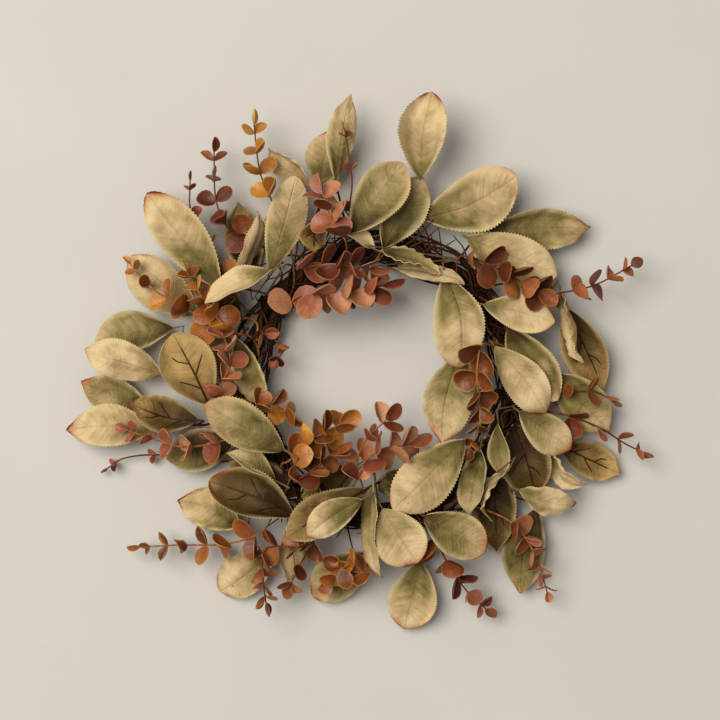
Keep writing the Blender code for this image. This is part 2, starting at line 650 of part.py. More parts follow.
def spray_stem(way, spare):
    """The stem of a spray of sage leaves."""
    return tube(way, SPRAY_STEM_RADIUS + spare / 2, STEM_SIDES)


def place_leaf(room, node, number, blade, stem):
    """One leaf with its petiole, as one mesh. Its two ends are lifted until it crosses nothing."""
    rule = random.Random(f"{node} {number}")
    twist = math.radians(rule.uniform(-LEAF_TWIST, LEAF_TWIST))
    wave = (rule.uniform(*LEAF_WAVE) * MM, rule.uniform(*LEAF_WAVES), rule.uniform(0, 2))
    for lifts in lift_choices():
        frame = blade_frame(blade, lifts, twist, wave)
        if not room.is_clear(node, slab(blade_rows(blade, frame, BLADE_WALL + SPARE)), ("blade",)):
            continue
        points = petiole_points(frame, stem)
        rows = blade_rows(blade, frame, BLADE_WALL)
        if room.is_clear(node, slab([*petiole_rows(blade, frame, points, SPARE), rows[0]])):
            petiole = petiole_rows(blade, frame, points)
            room.add(node, "blade", slab(rows))
            room.add(node, "petiole", slab([*petiole, rows[0]]))
            return slab([*petiole, *rows])
    raise ValueError(f"{node}: leaf {number} finds no room")


def sprig_stem(sprig, way, spare, capped=True):
    """The stem of a sprig, with a short straight length at every pair of leaflets. Returns its mesh,
    and the direction and the normal of each of its rings."""
    leafy = smooth_path(way, 3)[STUB_POINTS * 3:]
    points = way[:STUB_POINTS]
    alongs = directions(way)[:STUB_POINTS]
    for pair in range(sprig.pairs):
        share = FIRST_PAIR + (LAST_PAIR - FIRST_PAIR) * pair_share(sprig, pair) ** CROWDING
        point, along = along_path(leafy, share)
        points += [point - along * NODE_HALF_LENGTH, point + along * NODE_HALF_LENGTH]
        alongs += [along, along]
    alongs.append((leafy[-1] - points[-1]).normalized())
    points.append(leafy[-1])
    turn = math.radians(sprig.phase)
    normals = [Matrix.Rotation(turn, 3, along) @ normal for along, normal in zip(alongs, carried(alongs))]
    mesh = tube(points, SPRIG_STEM_RADIUS + spare / 2, STEM_SIDES, alongs, normals, capped=capped)
    return mesh, alongs, normals


def pair_share(sprig, pair):
    """How far a pair is from the first pair to the last, from 0 to 1."""
    return pair / max(1, sprig.pairs - 1)


def leaflet_choices(rule, along, outward):
    """Directions and normals for a leaflet: first as it grew, then turned more and more."""
    choices = []
    open_to_above = rule.uniform(*LEAFLET_OPEN)
    for lean in LEAFLET_LEANS:
        lean = math.radians(lean + rule.uniform(-LEAFLET_LEAN_DRAW, LEAFLET_LEAN_DRAW))
        twist = rule.uniform(-LEAFLET_TWIST_DRAW, LEAFLET_TWIST_DRAW)
        for turn in LEAFLET_TURNS:
            spun = Matrix.Rotation(math.radians(turn), 3, along) @ outward
            direction = (along * math.cos(lean) + spun * math.sin(lean)).normalized()
            face = along * math.sin(lean) - spun * math.cos(lean) + UP * open_to_above
            for more in LEAFLET_TWISTS:
                choices.append((direction, Matrix.Rotation(math.radians(twist + more), 3, direction) @ face))
    return choices


def place_leaflet(room, name, root, size, choices):
    """The rows of one leaflet, made smaller if it finds no room at full size, or None."""
    for scale in LEAFLET_SCALES:
        for direction, face in choices:
            def rows(start, spare=0):
                return leaflet_rows(root, direction, face, size * scale, LEAFLET_WALL + spare, start)
            blade = slab(rows(NECK_FREE, SPARE))
            if room.is_clear(name, blade, ("leaflet",)) and room.is_clear(name, slab(rows(0, SPARE))):
                room.add(name, "leaflet", slab(rows(NECK_FREE)))
                room.add(name, "neck", slab(rows(0)))
                return rows(0)
    return None


def place_sprig(room, sprig, way):
    """A sprig as one mesh, its leaflets grown out of the sides of its stem: pairs, each pair turned a
    quarter from the last, and one at the end."""
    rule = random.Random(sprig.name)
    (corners, faces), alongs, normals = sprig_stem(sprig, way, 0, capped=False)
    first, last = (size * MM for size in sprig.sizes)
    hosts = []
    for pair in range(sprig.pairs):
        ring = STUB_POINTS + 2 * pair
        here, there = ring * STEM_SIDES, (ring + 1) * STEM_SIDES
        for side in (pair % 2, pair % 2 + 2):
            n = (side + 1) % STEM_SIDES
            host = [here + side, here + n, there + n, there + side]
            outward = Matrix.Rotation(math.radians(45 + 90 * side), 3, alongs[ring]) @ normals[ring]
            choices = leaflet_choices(rule, alongs[ring], outward)
            hosts.append((host, first + (last - first) * pair_share(sprig, pair), choices))
    end = len(corners) - STEM_SIDES
    choices = [(alongs[-1], Matrix.Rotation(math.radians(turn), 3, alongs[-1]) @ normals[-1])
               for turn in range(0, 180, 30)]
    hosts.append(([end, end + 1, end + 2, end + 3], last, choices))
    for host, size, choices in hosts:
        root = sum((corners[i] for i in host), Vector()) / 4
        rows = place_leaflet(room, sprig.name, root, size, choices)
        sides = [(host[0], host[1], host[2]), (host[0], host[2], host[3])]
        faces = [face for face in faces if face not in sides]
        if rows:
            grow_leaflet(corners, faces, host, rows)
        else:
            faces += sides
    return corners, faces


def lay_out():
    """Finds a place for everything: vines, ties, stems, leaves from the lowest up, sprigs and leaflets.
    Returns the finished pieces of each node."""
    room = Clearance()
    nodes = {**place_vines(room), **place_ties(room)}
    ways = {}
    for spray in SPRAYS:
        ways[spray.name] = place_stem(room, spray.name, spray.ring, spray.path, spray_stem)
        nodes[spray.name] = [spray_stem(ways[spray.name], 0)]
    leaves = [(sum(blade.heights), spray.name, number, blade)
              for spray in SPRAYS for number, blade in enumerate(spray.leaves)]
    for _, name, number, blade in sorted(leaves, key=lambda row: row[:3]):
        nodes[name].append(place_leaf(room, name, number, blade, ways[name]))
    for sprig in SPRIGS:
        def shape(way, spare):
            return sprig_stem(sprig, way, spare)[0]
        ways[sprig.name] = place_stem(room, sprig.name, sprig.ring, sprig.path, shape)
    for sprig in SPRIGS:
        nodes[sprig.name] = [place_sprig(room, sprig, ways[sprig.name])]
    return nodes


def finish_of(name, colour, roughness):
    """A plain material with one colour."""
    material = bpy.data.materials.new(name)
    material.use_nodes = True
    surface = material.node_tree.nodes["Principled BSDF"]
    surface.inputs["Base Color"].default_value = (*colour, 1)
    surface.inputs["Roughness"].default_value = roughness
    surface.inputs["Metallic"].default_value = 0
    material.diffuse_color = (*colour, 1)
    return material


def object_of(name, mesh, collection):
    """A new object from corners and faces."""
    data = bpy.data.meshes.new(name)
    data.from_pydata(mesh[0], [], mesh[1])
    made = bpy.data.objects.new(name, data)
    collection.objects.link(made)
    return made


def joined(name, meshes):
    """One object: the first piece, with the others joined to it by a Boolean union."""
    scene = bpy.context.scene.collection
    body = object_of(name, meshes[0], scene)
    if len(meshes) == 1:
        return body
    others = bpy.data.collections.new(name + "_pieces")
    scene.children.link(others)
    for mesh in meshes[1:]:
        object_of(name + "_piece", mesh, others)
    union = body.modifiers.new("union", "BOOLEAN")
    union.operation = "UNION"
    union.operand_type = "COLLECTION"
    union.collection = others
    union.solver = "MANIFOLD"
    bpy.context.view_layer.objects.active = body
    bpy.ops.object.modifier_apply(modifier=union.name)
    for piece in list(others.objects):
        bpy.data.objects.remove(piece)
    bpy.data.collections.remove(others)
    body.data.materials.clear()
    return body


def main():
    for old in list(bpy.data.objects):
        bpy.data.objects.remove(old)
    finishes = {name: finish_of("leaf_" + name, colour, 0.55) for name, colour in RUST_COLOURS.items()}
    finishes |= {
        "sage": finish_of("sage_leaf", SAGE_COLOUR, 0.7),
        "vine": finish_of("vine_bark", BARK_COLOUR, 0.8),
        "tie": finish_of("stem_tape", TIE_COLOUR, 0.4),
    }
    sprig_colours = {sprig.name: sprig.colour for sprig in SPRIGS}
    for name, meshes in lay_out().items():
        body = joined(name, meshes)
        body.data.polygons.foreach_set("use_smooth", [name.startswith("vine")] * len(body.data.polygons))
        body.data.materials.append(finishes[sprig_colours.get(name, name.split("_")[0])])


main()
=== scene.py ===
# %% [markdown]
# # A eucalyptus wreath, dressed
#
# The object is a small wreath of preserved or cloth foliage: three dark vines twisted into a ring, sprays
# of sage-coloured leaves with fine teeth, and sprigs with pairs of small round rust-red and orange leaflets.
# A CAD model with plain solids already exists and is loaded as a fixed frame. This lesson gives every solid
# its look: thin curled blades with veins, cupped leaflets, bark, and wound tape. Units are metres.

import math
import random
from collections import namedtuple

import bpy
import numpy as np
from mathutils import Matrix, Vector
from mathutils.bvhtree import BVHTree
from mathutils.geometry import interpolate_bezier
from mathutils.kdtree import KDTree


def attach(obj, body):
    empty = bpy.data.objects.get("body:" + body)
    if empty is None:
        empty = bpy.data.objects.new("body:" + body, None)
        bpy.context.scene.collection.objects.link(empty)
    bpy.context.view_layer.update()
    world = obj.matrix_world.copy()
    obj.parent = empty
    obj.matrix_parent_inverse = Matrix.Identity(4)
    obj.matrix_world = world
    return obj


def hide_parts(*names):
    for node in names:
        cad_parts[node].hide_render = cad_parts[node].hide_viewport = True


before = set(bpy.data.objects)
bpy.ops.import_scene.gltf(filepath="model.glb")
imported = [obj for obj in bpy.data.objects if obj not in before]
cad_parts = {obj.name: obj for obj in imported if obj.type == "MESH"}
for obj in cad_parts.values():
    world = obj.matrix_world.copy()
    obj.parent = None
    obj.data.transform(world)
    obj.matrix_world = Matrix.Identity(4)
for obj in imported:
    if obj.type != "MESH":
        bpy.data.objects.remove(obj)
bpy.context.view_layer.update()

# %% [markdown]
# ## The plan
#
# A wreath maker starts from a sketch seen from the front. Here the sketch is a square of 720 by 720 plan
# units, x to the right and y downwards, and every place on it also has a height above the table in
# millimetres. The same plan and the same rules laid out the solids, so a fine leaf lands where its
# solid is.

# %% Sizes of the plan and the ring
MM = 0.001
UP = Vector((0, 0, 1))
GAP = 0.3 * MM  # what touches keeps this much air
PLAN_UNIT = 0.65 * MM  # one plan unit on the table
PLAN_MIDDLE = (360, 360)
PLAN_EYE = 1300 * MM  # height of the eye that the plan is drawn from
ORIGIN_ON_PLAN = (360.52, 363.04)
RING_ON_PLAN = (380, 382)
RING_RADIUS = 84.5 * MM
VINES = 3
VINE_RADIUS = 3.2 * MM
VINE_OFFSET = 3.95 * MM  # from the middle of the bundle to the middle of a vine
VINE_TWISTS = 4
VINE_PHASE = math.radians(-70)  # puts the foot of a vine at each band
BUNDLE_RADIUS = VINE_OFFSET + VINE_RADIUS
TIE_WALL = 0.8 * MM
RING_HEIGHT = BUNDLE_RADIUS + GAP + TIE_WALL
print(f"{VINES} vines in a ring {2 * (RING_RADIUS + BUNDLE_RADIUS) / MM:.0f} mm wide")

# %% [markdown]
# ## The leaves and the sprigs
#
# One row for each stem. A leaf has its base and its tip on the plan, so its place can be read off the
# sketch. A second table, further down, says how each leaf is coloured.

# %% Rows of the tables
Leaf = namedtuple("Leaf", "base tip width heights roll cup arch shape fold")
Spray = namedtuple("Spray", "name ring path leaves")
Sprig = namedtuple("Sprig", "name ring path pairs sizes phase colour")


def leaf(base, tip, width, heights, roll=0, cup=-0.3, arch=3, shape="pointed", fold=0):
    """A sage leaf: base and tip on the plan, width and heights of both ends in mm, roll in degrees,
    cup as the bend from the midrib to an edge in radians, and arch in mm. A fold is what one half
    bends up more, in radians: the right half seen from the base, or the left one if it is negative."""
    return Leaf(base, tip, width, heights, roll, cup, arch, shape, fold)


# %% Sprays of sage leaves
# Name, degrees round the ring, path of the stem as places on the plan with heights, and leaves
SPRAYS = [
    Spray("sage_spray_01", 72, [(418, 225, 24), (422, 190, 24)], [
        leaf((420, 178), (433, 92), 32, (24, 34), -10, 0.6, 3, "round"),
        leaf((424, 218), (517, 176), 41, (25, 30), 8, -0.4, 5, "round"),
        leaf((383, 248), (424, 176), 31, (24, 26), 12, -0.35, 4),
    ]),
    Spray("sage_spray_02", 102, [(346, 222, 22), (338, 192, 20)], [
        leaf((336, 180), (350, 94), 20, (22, 26), 14, -0.5),
        leaf((320, 186), (331, 130), 28, (13, 16), -6, -0.35),
        leaf((352, 232), (404, 163), 35, (30, 34), -10, 0.45, 3, "round"),
        leaf((312, 186), (267, 150), 18, (18, 24), -30, 1.1, 2),
        leaf((322, 222), (375, 248), 18, (30, 30), -45, 0.5, 3),
    ]),
    Spray("sage_spray_03", 126, [(285, 255, 18)], [
        leaf((270, 270), (296, 176), 27, (24, 27), 14, -0.5, 4, "round"),
        leaf((250, 285), (238, 202), 27, (12, 12), 10, -0.4),
        leaf((230, 290), (264, 214), 24, (24, 28), 72, -0.3, 2),
        leaf((318, 219), (314, 252), 18, (26, 24), -20, 0.4, 2),
    ]),
    Spray("sage_spray_04", 148, [(236, 298, 19)], [
        leaf((220, 288), (147, 193), 34, (22, 27), 4, -0.45, 4, "round", 1.3),
        leaf((198, 314), (129, 257), 37, (14, 18), -4, -0.25, 2, "round", 1.5),
        leaf((272, 270), (205, 303), 26, (30, 30), 48, 0.5, 3),
        leaf((240, 316), (188, 250), 30, (10, 10), 0, -0.3, 2),
    ]),
    Spray("sage_spray_05", 170, [(215, 350, 18), (180, 350, 16)], [
        leaf((172, 328), (95, 341), 28, (14, 12), 8, -0.4, 3, "round"),
        leaf((162, 374), (84, 350), 27, (19, 20), -8, -0.4, 4),
        leaf((208, 404), (173, 334), 38, (27, 32), 6, 0.3, 3, "round"),
        leaf((236, 338), (264, 409), 23, (24, 24), 14, -0.35),
        leaf((250, 402), (214, 330), 28, (12, 12), 0, -0.3, 2),
    ]),
    Spray("sage_spray_06", 197, [(205, 425, 15), (170, 420, 14)], [
        leaf((152, 411), (80, 382), 27, (11, 10), -6, -0.4),
        leaf((154, 431), (67, 430), 29, (17, 15), 6, -0.4, 4),
        leaf((198, 420), (130, 403), 27, (22, 22), 10, 0.5, 2),
        leaf((236, 440), (166, 459), 29, (11, 9), 0, -0.2),
    ]),
    Spray("sage_spray_07", 221, [(268, 500, 17), (250, 515, 15)], [
        leaf((284, 450), (205, 404), 33, (31, 34), -10, -0.55, 5, "round"),
        leaf((294, 517), (209, 481), 38, (22, 25), 18, 0.9, 2, "round"),
        leaf((240, 527), (178, 500), 28, (13, 11), 0, -0.4),
        leaf((275, 480), (226, 453), 20, (26, 28), 50, 0.3, 3),
        leaf((297, 497), (228, 462), 25, (18, 21), 15, 0.5, 2),
    ]),
    Spray("sage_spray_08", 246, [(310, 525, 16), (290, 540, 13)], [
        leaf((274, 552), (219, 593), 29, (11, 8), 0, -0.35, 3, "round"),
        leaf((288, 526), (293, 583), 23, (26, 20), -30, -0.3, 2),
        leaf((366, 490), (287, 538), 30, (24, 25), 24, 0.6, 3, "round"),
        leaf((362, 500), (307, 535), 24, (34, 35), 0, -1.0, 4, "round"),
        leaf((352, 468), (300, 498), 24, (10, 10), 0, -0.3, 2),
    ]),
    Spray("sage_spray_09", 266, [(372, 535, 14)], [
        leaf((370, 554), (313, 597), 31, (11, 8), 0, -0.35, 3, "round"),
        leaf((374, 482), (376, 579), 25, (30, 27), 58, 0.5, 3),
        leaf((383, 509), (418, 563), 34, (33, 34), 0, 0.35, 4, "round"),
        leaf((405, 470), (378, 492), 18, (20, 20), 0, -0.3, 2),
    ]),
    Spray("sage_spray_10", 286, [(424, 535, 13)], [
        leaf((421, 562), (405, 629), 33, (11, 9), 0, -0.35, 3, "round"),
        leaf((424, 516), (485, 552), 32, (29, 32), 0, 0.5, 4, "round"),
    ]),
    Spray("sage_spray_11", 306, [(490, 490, 16), (525, 500, 13)], [
        leaf((480, 448), (466, 516), 21, (25, 28), 30, 0.3, 2),
        leaf((492, 452), (497, 552), 32, (12, 10), 0, 0.3, 2),
        leaf((536, 508), (521, 593), 30, (12, 9), 6, -0.35),
        leaf((520, 490), (577, 506), 22, (26, 22), 18, -0.5, 3),
        leaf((508, 470), (481, 516), 18, (20, 24), 75, 0.2, 2),
    ]),
    Spray("sage_spray_12", 328, [(509, 443, 17), (534, 450, 16)], [
        leaf((464, 440), (393, 510), 37, (34, 37), 6, -0.45, 5, "round"),
        leaf((514, 424), (535, 498), 38, (14, 16), 0, 0.6, 2),
        leaf((547, 450), (580, 490), 18, (18, 21), 60, 0.3, 2),
    ]),
    Spray("sage_spray_13", 348, [(535, 400, 14), (550, 420, 12)], [
        leaf((556, 374), (610, 432), 33, (14, 16), 8, -0.4, 4),
        leaf((560, 446), (620, 474), 25, (10, 9), 0, 0.4, 2),
        leaf((520, 412), (571, 449), 27, (24, 25), -6, -0.5, 4, "round"),
        leaf((498, 424), (503, 478), 16, (20, 21), 30, 0.2, 2),
    ]),
    Spray("sage_spray_14", 9, [(510, 345, 20)], [
        leaf((495, 347), (546, 413), 30, (28, 31), 8, -0.55, 5, "round"),
        leaf((508, 328), (557, 401), 32, (22, 23), -8, -0.4, 4, "round"),
        leaf((462, 352), (442, 443), 33, (25, 27), 0, 0.3, 3),
    ]),
    Spray("sage_spray_15", 30, [(520, 308, 18), (545, 300, 16)], [
        leaf((484, 305), (555, 322), 25, (30, 33), -6, -0.45, 4, "round"),
        leaf((560, 290), (575, 364), 22, (20, 24), 68, 0.2, 2),
        leaf((566, 308), (603, 390), 32, (12, 14), -12, 0.3, 2, "pointed", -1.2),
    ]),
    Spray("sage_spray_16", 50, [(462, 255, 19), (472, 242, 18)], [
        leaf((490, 230), (592, 229), 28, (16, 18), 8, -0.4, 4),
        leaf((467, 237), (557, 276), 36, (22, 24), 6, -0.4, 5, "round"),
        leaf((445, 276), (461, 366), 37, (30, 35), -6, -0.45, 5, "round"),
        leaf((380, 251), (440, 275), 15, (26, 28), -45, 0.2, 2),
        leaf((393, 268), (465, 280), 17, (25, 28), -50, 0.2, 2),
    ]),
]
print(len(SPRAYS), "sprays with", sum(len(spray.leaves) for spray in SPRAYS), "leaves")

# %% Sprigs of rust leaflets
# Name, degrees round the ring, path of the stem, pairs of leaflets, sizes of the first and the last,
# turn of the first pair in degrees, and colour
SPRIGS = [
    Sprig("rust_sprig_01", 143, [(252, 262, 20), (230, 230, 25), (216, 200, 27), (214, 152, 25)],
          5, (16, 10), 20, "burgundy"),
    Sprig("rust_sprig_02", 152, [(232, 270, 22), (207, 238, 27), (191, 212, 30), (190, 181, 29)],
          4, (12, 7), 70, "rust"),
    Sprig("rust_sprig_03", 131, [(284, 238, 24), (274, 205, 30), (260, 172, 32), (254, 125, 30)],
          5, (17, 11), 45, "mustard"),
    Sprig("rust_sprig_04", 158, [(222, 325, 26), (180, 306, 29), (152, 288, 28), (130, 264, 24)],
          5, (19, 7), 30, "orange"),
    Sprig("rust_sprig_05", 163, [(235, 332, 30), (212, 312, 34), (187, 272, 34)], 5, (16, 10), 60, "orange"),
    Sprig("rust_sprig_06", 137, [(268, 304, 32), (300, 296, 36), (345, 292, 37), (382, 286, 34)],
          8, (19, 16), 25, "pink"),
    Sprig("rust_sprig_07", 118, [(300, 268, 36), (330, 264, 39), (368, 268, 40)], 5, (17, 15), 0, "pink"),
    Sprig("rust_sprig_08", 165, [(262, 332, 28), (275, 340, 27), (283, 350, 26), (277, 360, 24)],
          3, (10, 7), 10, "burgundy"),
    Sprig("rust_sprig_09", 110, [(345, 240, 34), (331, 218, 37), (323, 194, 38)], 4, (17, 14), 40, "pink"),
    Sprig("rust_sprig_10", 95, [(362, 215, 36), (352, 180, 38), (345, 130, 36)], 3, (8, 6), 15, "burgundy"),
    Sprig("rust_sprig_11", 62, [(462, 256, 31), (500, 270, 34), (538, 292, 34)], 6, (17, 15), 5, "rust"),
    Sprig("rust_sprig_12", 40, [(520, 300, 28), (560, 293, 31), (595, 285, 31), (631, 266, 28)],
          6, (19, 9), 50, "burgundy"),
    Sprig("rust_sprig_13", 22, [(482, 345, 36), (477, 375, 39), (480, 420, 37), (470, 448, 34)],
          6, (18, 9), 35, "orange"),
    Sprig("rust_sprig_14", 226, [(290, 460, 34), (312, 440, 38), (340, 424, 37)],
          5, (17, 15), 15, "orange"),
    Sprig("rust_sprig_15", 234, [(295, 482, 34), (315, 468, 38), (334, 453, 38)], 4, (15, 14), 65, "rust"),
    Sprig("rust_sprig_16", 252, [(345, 480, 32), (370, 456, 36), (408, 444, 34)], 5, (17, 17), 30, "pink"),
    Sprig("rust_sprig_17", 244, [(345, 464, 38), (366, 440, 42), (386, 420, 42)], 3, (15, 14), 75, "pink"),
    Sprig("rust_sprig_18", 192, [(225, 440, 28), (185, 447, 30), (150, 438, 28), (127, 430, 26)],
          5, (16, 9), 20, "pink"),
    Sprig("rust_sprig_19", 206, [(215, 462, 10), (160, 455, 8), (125, 458, 7), (108, 468, 6)],
          3, (8, 6), 45, "burgundy"),
    Sprig("rust_sprig_20", 182, [(240, 390, 30), (230, 362, 36), (222, 332, 38)], 5, (15, 13), 55, "pink"),
    Sprig("rust_sprig_21", 188, [(242, 398, 34), (264, 404, 36), (288, 414, 35)], 4, (14, 13), 10, "orange"),
    Sprig("rust_sprig_22", 242, [(262, 532, 22), (225, 544, 21), (180, 545, 20), (140, 547, 17)],
          6, (17, 9), 25, "orange"),
    Sprig("rust_sprig_23", 240, [(280, 522, 32), (266, 548, 33), (263, 578, 30), (266, 603, 25)],
          6, (15, 10), 60, "rust"),
    Sprig("rust_sprig_24", 262, [(315, 540, 26), (300, 565, 26), (290, 586, 22)], 3, (14, 10), 0, "rust"),
    Sprig("rust_sprig_25", 262, [(368, 548, 26), (350, 564, 27), (332, 578, 25)],
          4, (15, 13), 50, "orange"),
    Sprig("rust_sprig_26", 290, [(432, 532, 22), (447, 562, 23), (466, 590, 20), (486, 609, 16)],
          5, (19, 9), 30, "rust"),
    Sprig("rust_sprig_27", 312, [(508, 508, 26), (527, 540, 27), (540, 568, 24), (547, 592, 18)],
          6, (15, 8), 15, "pink"),
    Sprig("rust_sprig_28", 342, [(565, 415, 26), (600, 428, 22), (624, 443, 20), (642, 452, 17)],
          4, (15, 9), 40, "burgundy"),
    Sprig("rust_sprig_29", 358, [(560, 380, 26), (592, 391, 24), (610, 399, 21)], 3, (12, 10), 65, "rust"),
]
print(len(SPRIGS), "sprigs")

# %% [markdown]
# ## Points, paths and thin slabs
#
# Every solid is a tube of few sides or a thin slab of a few rows. They are needed again here, because the
# layout tries each piece as such a solid before it gives it a place. Only crossings are looked for, so it
# doesn't matter which way a face points.

# %% Points on the plan and round the ring
def spot(x, y, height):
    """The point in metres over a place on the plan, at a height in millimetres."""
    z = height * MM
    shrink = PLAN_UNIT * (PLAN_EYE - z) / PLAN_EYE
    return Vector((
        (x - PLAN_MIDDLE[0]) * shrink - (ORIGIN_ON_PLAN[0] - PLAN_MIDDLE[0]) * PLAN_UNIT,
        (PLAN_MIDDLE[1] - y) * shrink - (PLAN_MIDDLE[1] - ORIGIN_ON_PLAN[1]) * PLAN_UNIT,
        z,
    ))


def on_bundle(turn, lean, reach):
    """A point at an angle round the ring, then at an angle and a distance round the bundle's middle."""
    middle = spot(*RING_ON_PLAN, 0)
    middle.z = RING_HEIGHT
    outward = Vector((math.cos(turn), math.sin(turn), 0))
    return middle + outward * (RING_RADIUS + reach * math.cos(lean)) + UP * reach * math.sin(lean)


def crest(vine, turn):
    """Where round the bundle a vine lies at that angle round the ring."""
    return VINE_PHASE + 2 * math.pi * vine / VINES + VINE_TWISTS * turn


print("the first vine starts at", tuple(round(c, 4) for c in on_bundle(0, crest(0, 0), VINE_OFFSET)))

# %% Paths
def directions(points, closed=False):
    """The direction of a path at each of its points."""
    count = len(points)
    found = []
    for i, point in enumerate(points):
        before = points[i - 1] if i or closed else point
        after = points[(i + 1) % count] if i < count - 1 or closed else point
        found.append((after - before).normalized())
    return found


def carried(alongs):
    """Directions square to a path, carried along it without twisting."""
    normal = alongs[0].orthogonal()
    found = []
    for along in alongs:
        normal = (normal - along * normal.dot(along)).normalized()
        found.append(normal)
    return found


def smooth_path(points, steps):
    """Points along a smooth curve through the given points, a Catmull-Rom spline as Bezier pieces."""
    full = [points[0] * 2 - points[1], *points, points[-1] * 2 - points[-2]]
    path = [points[0]]
    for a, b, c, d in zip(full, full[1:], full[2:], full[3:]):
        path += interpolate_bezier(b, b + (c - a) / 6, c - (d - b) / 6, c, steps + 1)[1:]
    return path


def along_path(path, share):
    """The point and the direction at a share of a path's length."""
    lengths = [(b - a).length for a, b in zip(path, path[1:])]
    left = share * sum(lengths)
    for a, b, length in zip(path, path[1:], lengths):
        if left <= length:
            return a.lerp(b, left / length), (b - a).normalized()
        left -= length
    return path[-1].copy(), (path[-1] - path[-2]).normalized()


def nearest_on_path(path, point):
    """The point of a path nearest to another point."""
    def closest(a, b):
        share = max(0, min(1, (point - a).dot(b - a) / (b - a).length_squared))
        return a.lerp(b, share)
    return min((closest(a, b) for a, b in zip(path, path[1:])), key=lambda p: (p - point).length)


first_path = smooth_path([spot(*place) for place in SPRIGS[0].path], 4)
halfway = along_path(first_path, 0.5)[0]
print("halfway along the first sprig's path:", tuple(round(c, 4) for c in halfway))

# %% Tubes and slabs
def tube(points, radius, sides, alongs=None, normals=None, closed=False):
    """A tube of few sides along points. One corner of each section lies on its normal."""
    alongs = alongs or directions(points, closed)
    normals = normals or carried(alongs)
    corners, faces = [], []
    for point, along, normal in zip(points, alongs, normals):
        normal = (normal - along * normal.dot(along)).normalized()
        across = along.cross(normal)
        for k in range(sides):
            angle = 2 * math.pi * k / sides
            corners.append(point + (normal * math.cos(angle) + across * math.sin(angle)) * radius)
    count = len(points)
    for i in range(count if closed else count - 1):
        here, there = i * sides, (i + 1) % count * sides
        for k in range(sides):
            n = (k + 1) % sides
            faces += [(here + k, here + n, there + n), (here + k, there + n, there + k)]
    if not closed:
        last = (count - 1) * sides
        for k in range(1, sides - 1):
            faces += [(0, k + 1, k), (last, last + k, last + k + 1)]
    return corners, faces


def strip(near, far):
    """Triangles between two rows of corners that both run from left to right."""
    faces = []
    i = j = 0
    while i < len(near) - 1 or j < len(far) - 1:
        if j == len(far) - 1 or (i < len(near) - 1 and (i + 1) * len(far) <= (j + 1) * len(near)):
            faces.append((near[i], near[i + 1], far[j]))
            i += 1
        else:
            faces.append((near[i], far[j + 1], far[j]))
            j += 1
    return faces


def slab(rows):
    """A closed slab from rows of (front points, back points)."""
    corners, fronts, backs, faces = [], [], [], []
    for row in rows:
        for side, points in zip((fronts, backs), row):
            side.append(range(len(corners), len(corners) + len(points)))
            corners += points
    for near, far, near_back, far_back in zip(fronts, fronts[1:], backs, backs[1:]):
        faces += strip(near, far) + strip(near_back, far_back)
        faces += [(far[-1], near[-1], near_back[-1]), (far[-1], near_back[-1], far_back[-1])]
        faces += [(near[0], far[0], far_back[0]), (near[0], far_back[0], near_back[0])]
    for front, back in ((fronts[0], backs[0]), (fronts[-1], backs[-1])):
        for k in range(len(front) - 1):
            faces += [(front[k + 1], front[k], back[k]), (front[k + 1], back[k], back[k + 1])]
    return corners, faces


def slab_row(points, normals, wall):
    """One row of a slab: points moved half a wall to the front and to the back."""
    return ([p + n * wall / 2 for p, n in zip(points, normals)],
            [p - n * wall / 2 for p, n in zip(points, normals)])


print("the first sprig's stem, with 4 sides, has", len(tube(first_path, MM, 4)[1]), "triangles")

# %% A blade as a slab
BLADE_WALL = 0.8 * MM
BLADE_ROWS = 5
NOTCH_DEPTH = 0.07  # of half the width
BLADE_SPREAD = {"pointed": (1.12, 0.68), "round": (1.3, 0.54)}  # where it is widest, how blunt it ends
PETIOLE_HALF_WIDTH = 0.7 * MM
PETIOLE_BEND = 10 * MM  # at most this far before the blade, a petiole turns into its line
PETIOLE_STRAIGHT = 6 * MM  # a shorter one has no bend
Lie = namedtuple("Lie", "start end along across out twist wave")


def blade_lie(blade, lifts, twist, wave):
    """How a blade lies: its two ends, the directions along, across and out of it, and its bends."""
    start = spot(*blade.base, blade.heights[0] + lifts[0])
    end = spot(*blade.tip, blade.heights[1] + lifts[1])
    along = (end - start).normalized()
    across = along.cross(UP).normalized()
    return Lie(start, end, along, across, across.cross(along), twist, wave)


def blade_width(blade, u):
    """Half the blade's width at a share of its length."""
    widest, blunt = BLADE_SPREAD[blade.shape]
    return blade.width * MM / 2 * math.sin(math.pi * min(1, u) ** widest) ** blunt


def blade_point(blade, lie, u, v, half):
    """A point of the blade and its normal: u runs from its base to its tip, v from edge to edge."""
    turn = Matrix.Rotation(math.radians(blade.roll) + lie.twist * (u - 0.5), 3, lie.along)
    across, out = turn @ lie.across, turn @ lie.out
    curl = blade.cup + (abs(blade.fold) if v * blade.fold > 0 else 0)
    bend = curl * v
    side = half * math.sin(bend) / curl
    rise = half * (1 - math.cos(bend)) / curl
    rise += blade.arch * MM * 4 * u * (1 - u)
    height, waves, shift = lie.wave
    rise += height * v * v * math.sin(math.pi * (waves * u + shift + 0.5 * v))
    normal = (out * math.cos(bend) - across * math.sin(bend)).normalized()
    return lie.start.lerp(lie.end, u) + across * side + out * rise, normal


def blade_rows(blade, lie, wall):
    """The blade as rows across it: a narrow base, rows with every second one a notch, and the tip."""
    rows = []
    for number in range(BLADE_ROWS + 2):
        u = number / (BLADE_ROWS + 1)
        half = blade_width(blade, u) * (1 - NOTCH_DEPTH * (number % 2 == 0))
        across = (-1, 0, 1)
        if number == 0:
            half, across = PETIOLE_HALF_WIDTH, (-1, 1)
        if number == BLADE_ROWS + 1:
            across = (0,)
        points, normals = zip(*(blade_point(blade, lie, u, v, half) for v in across))
        rows.append(slab_row(points, normals, wall))
    return rows


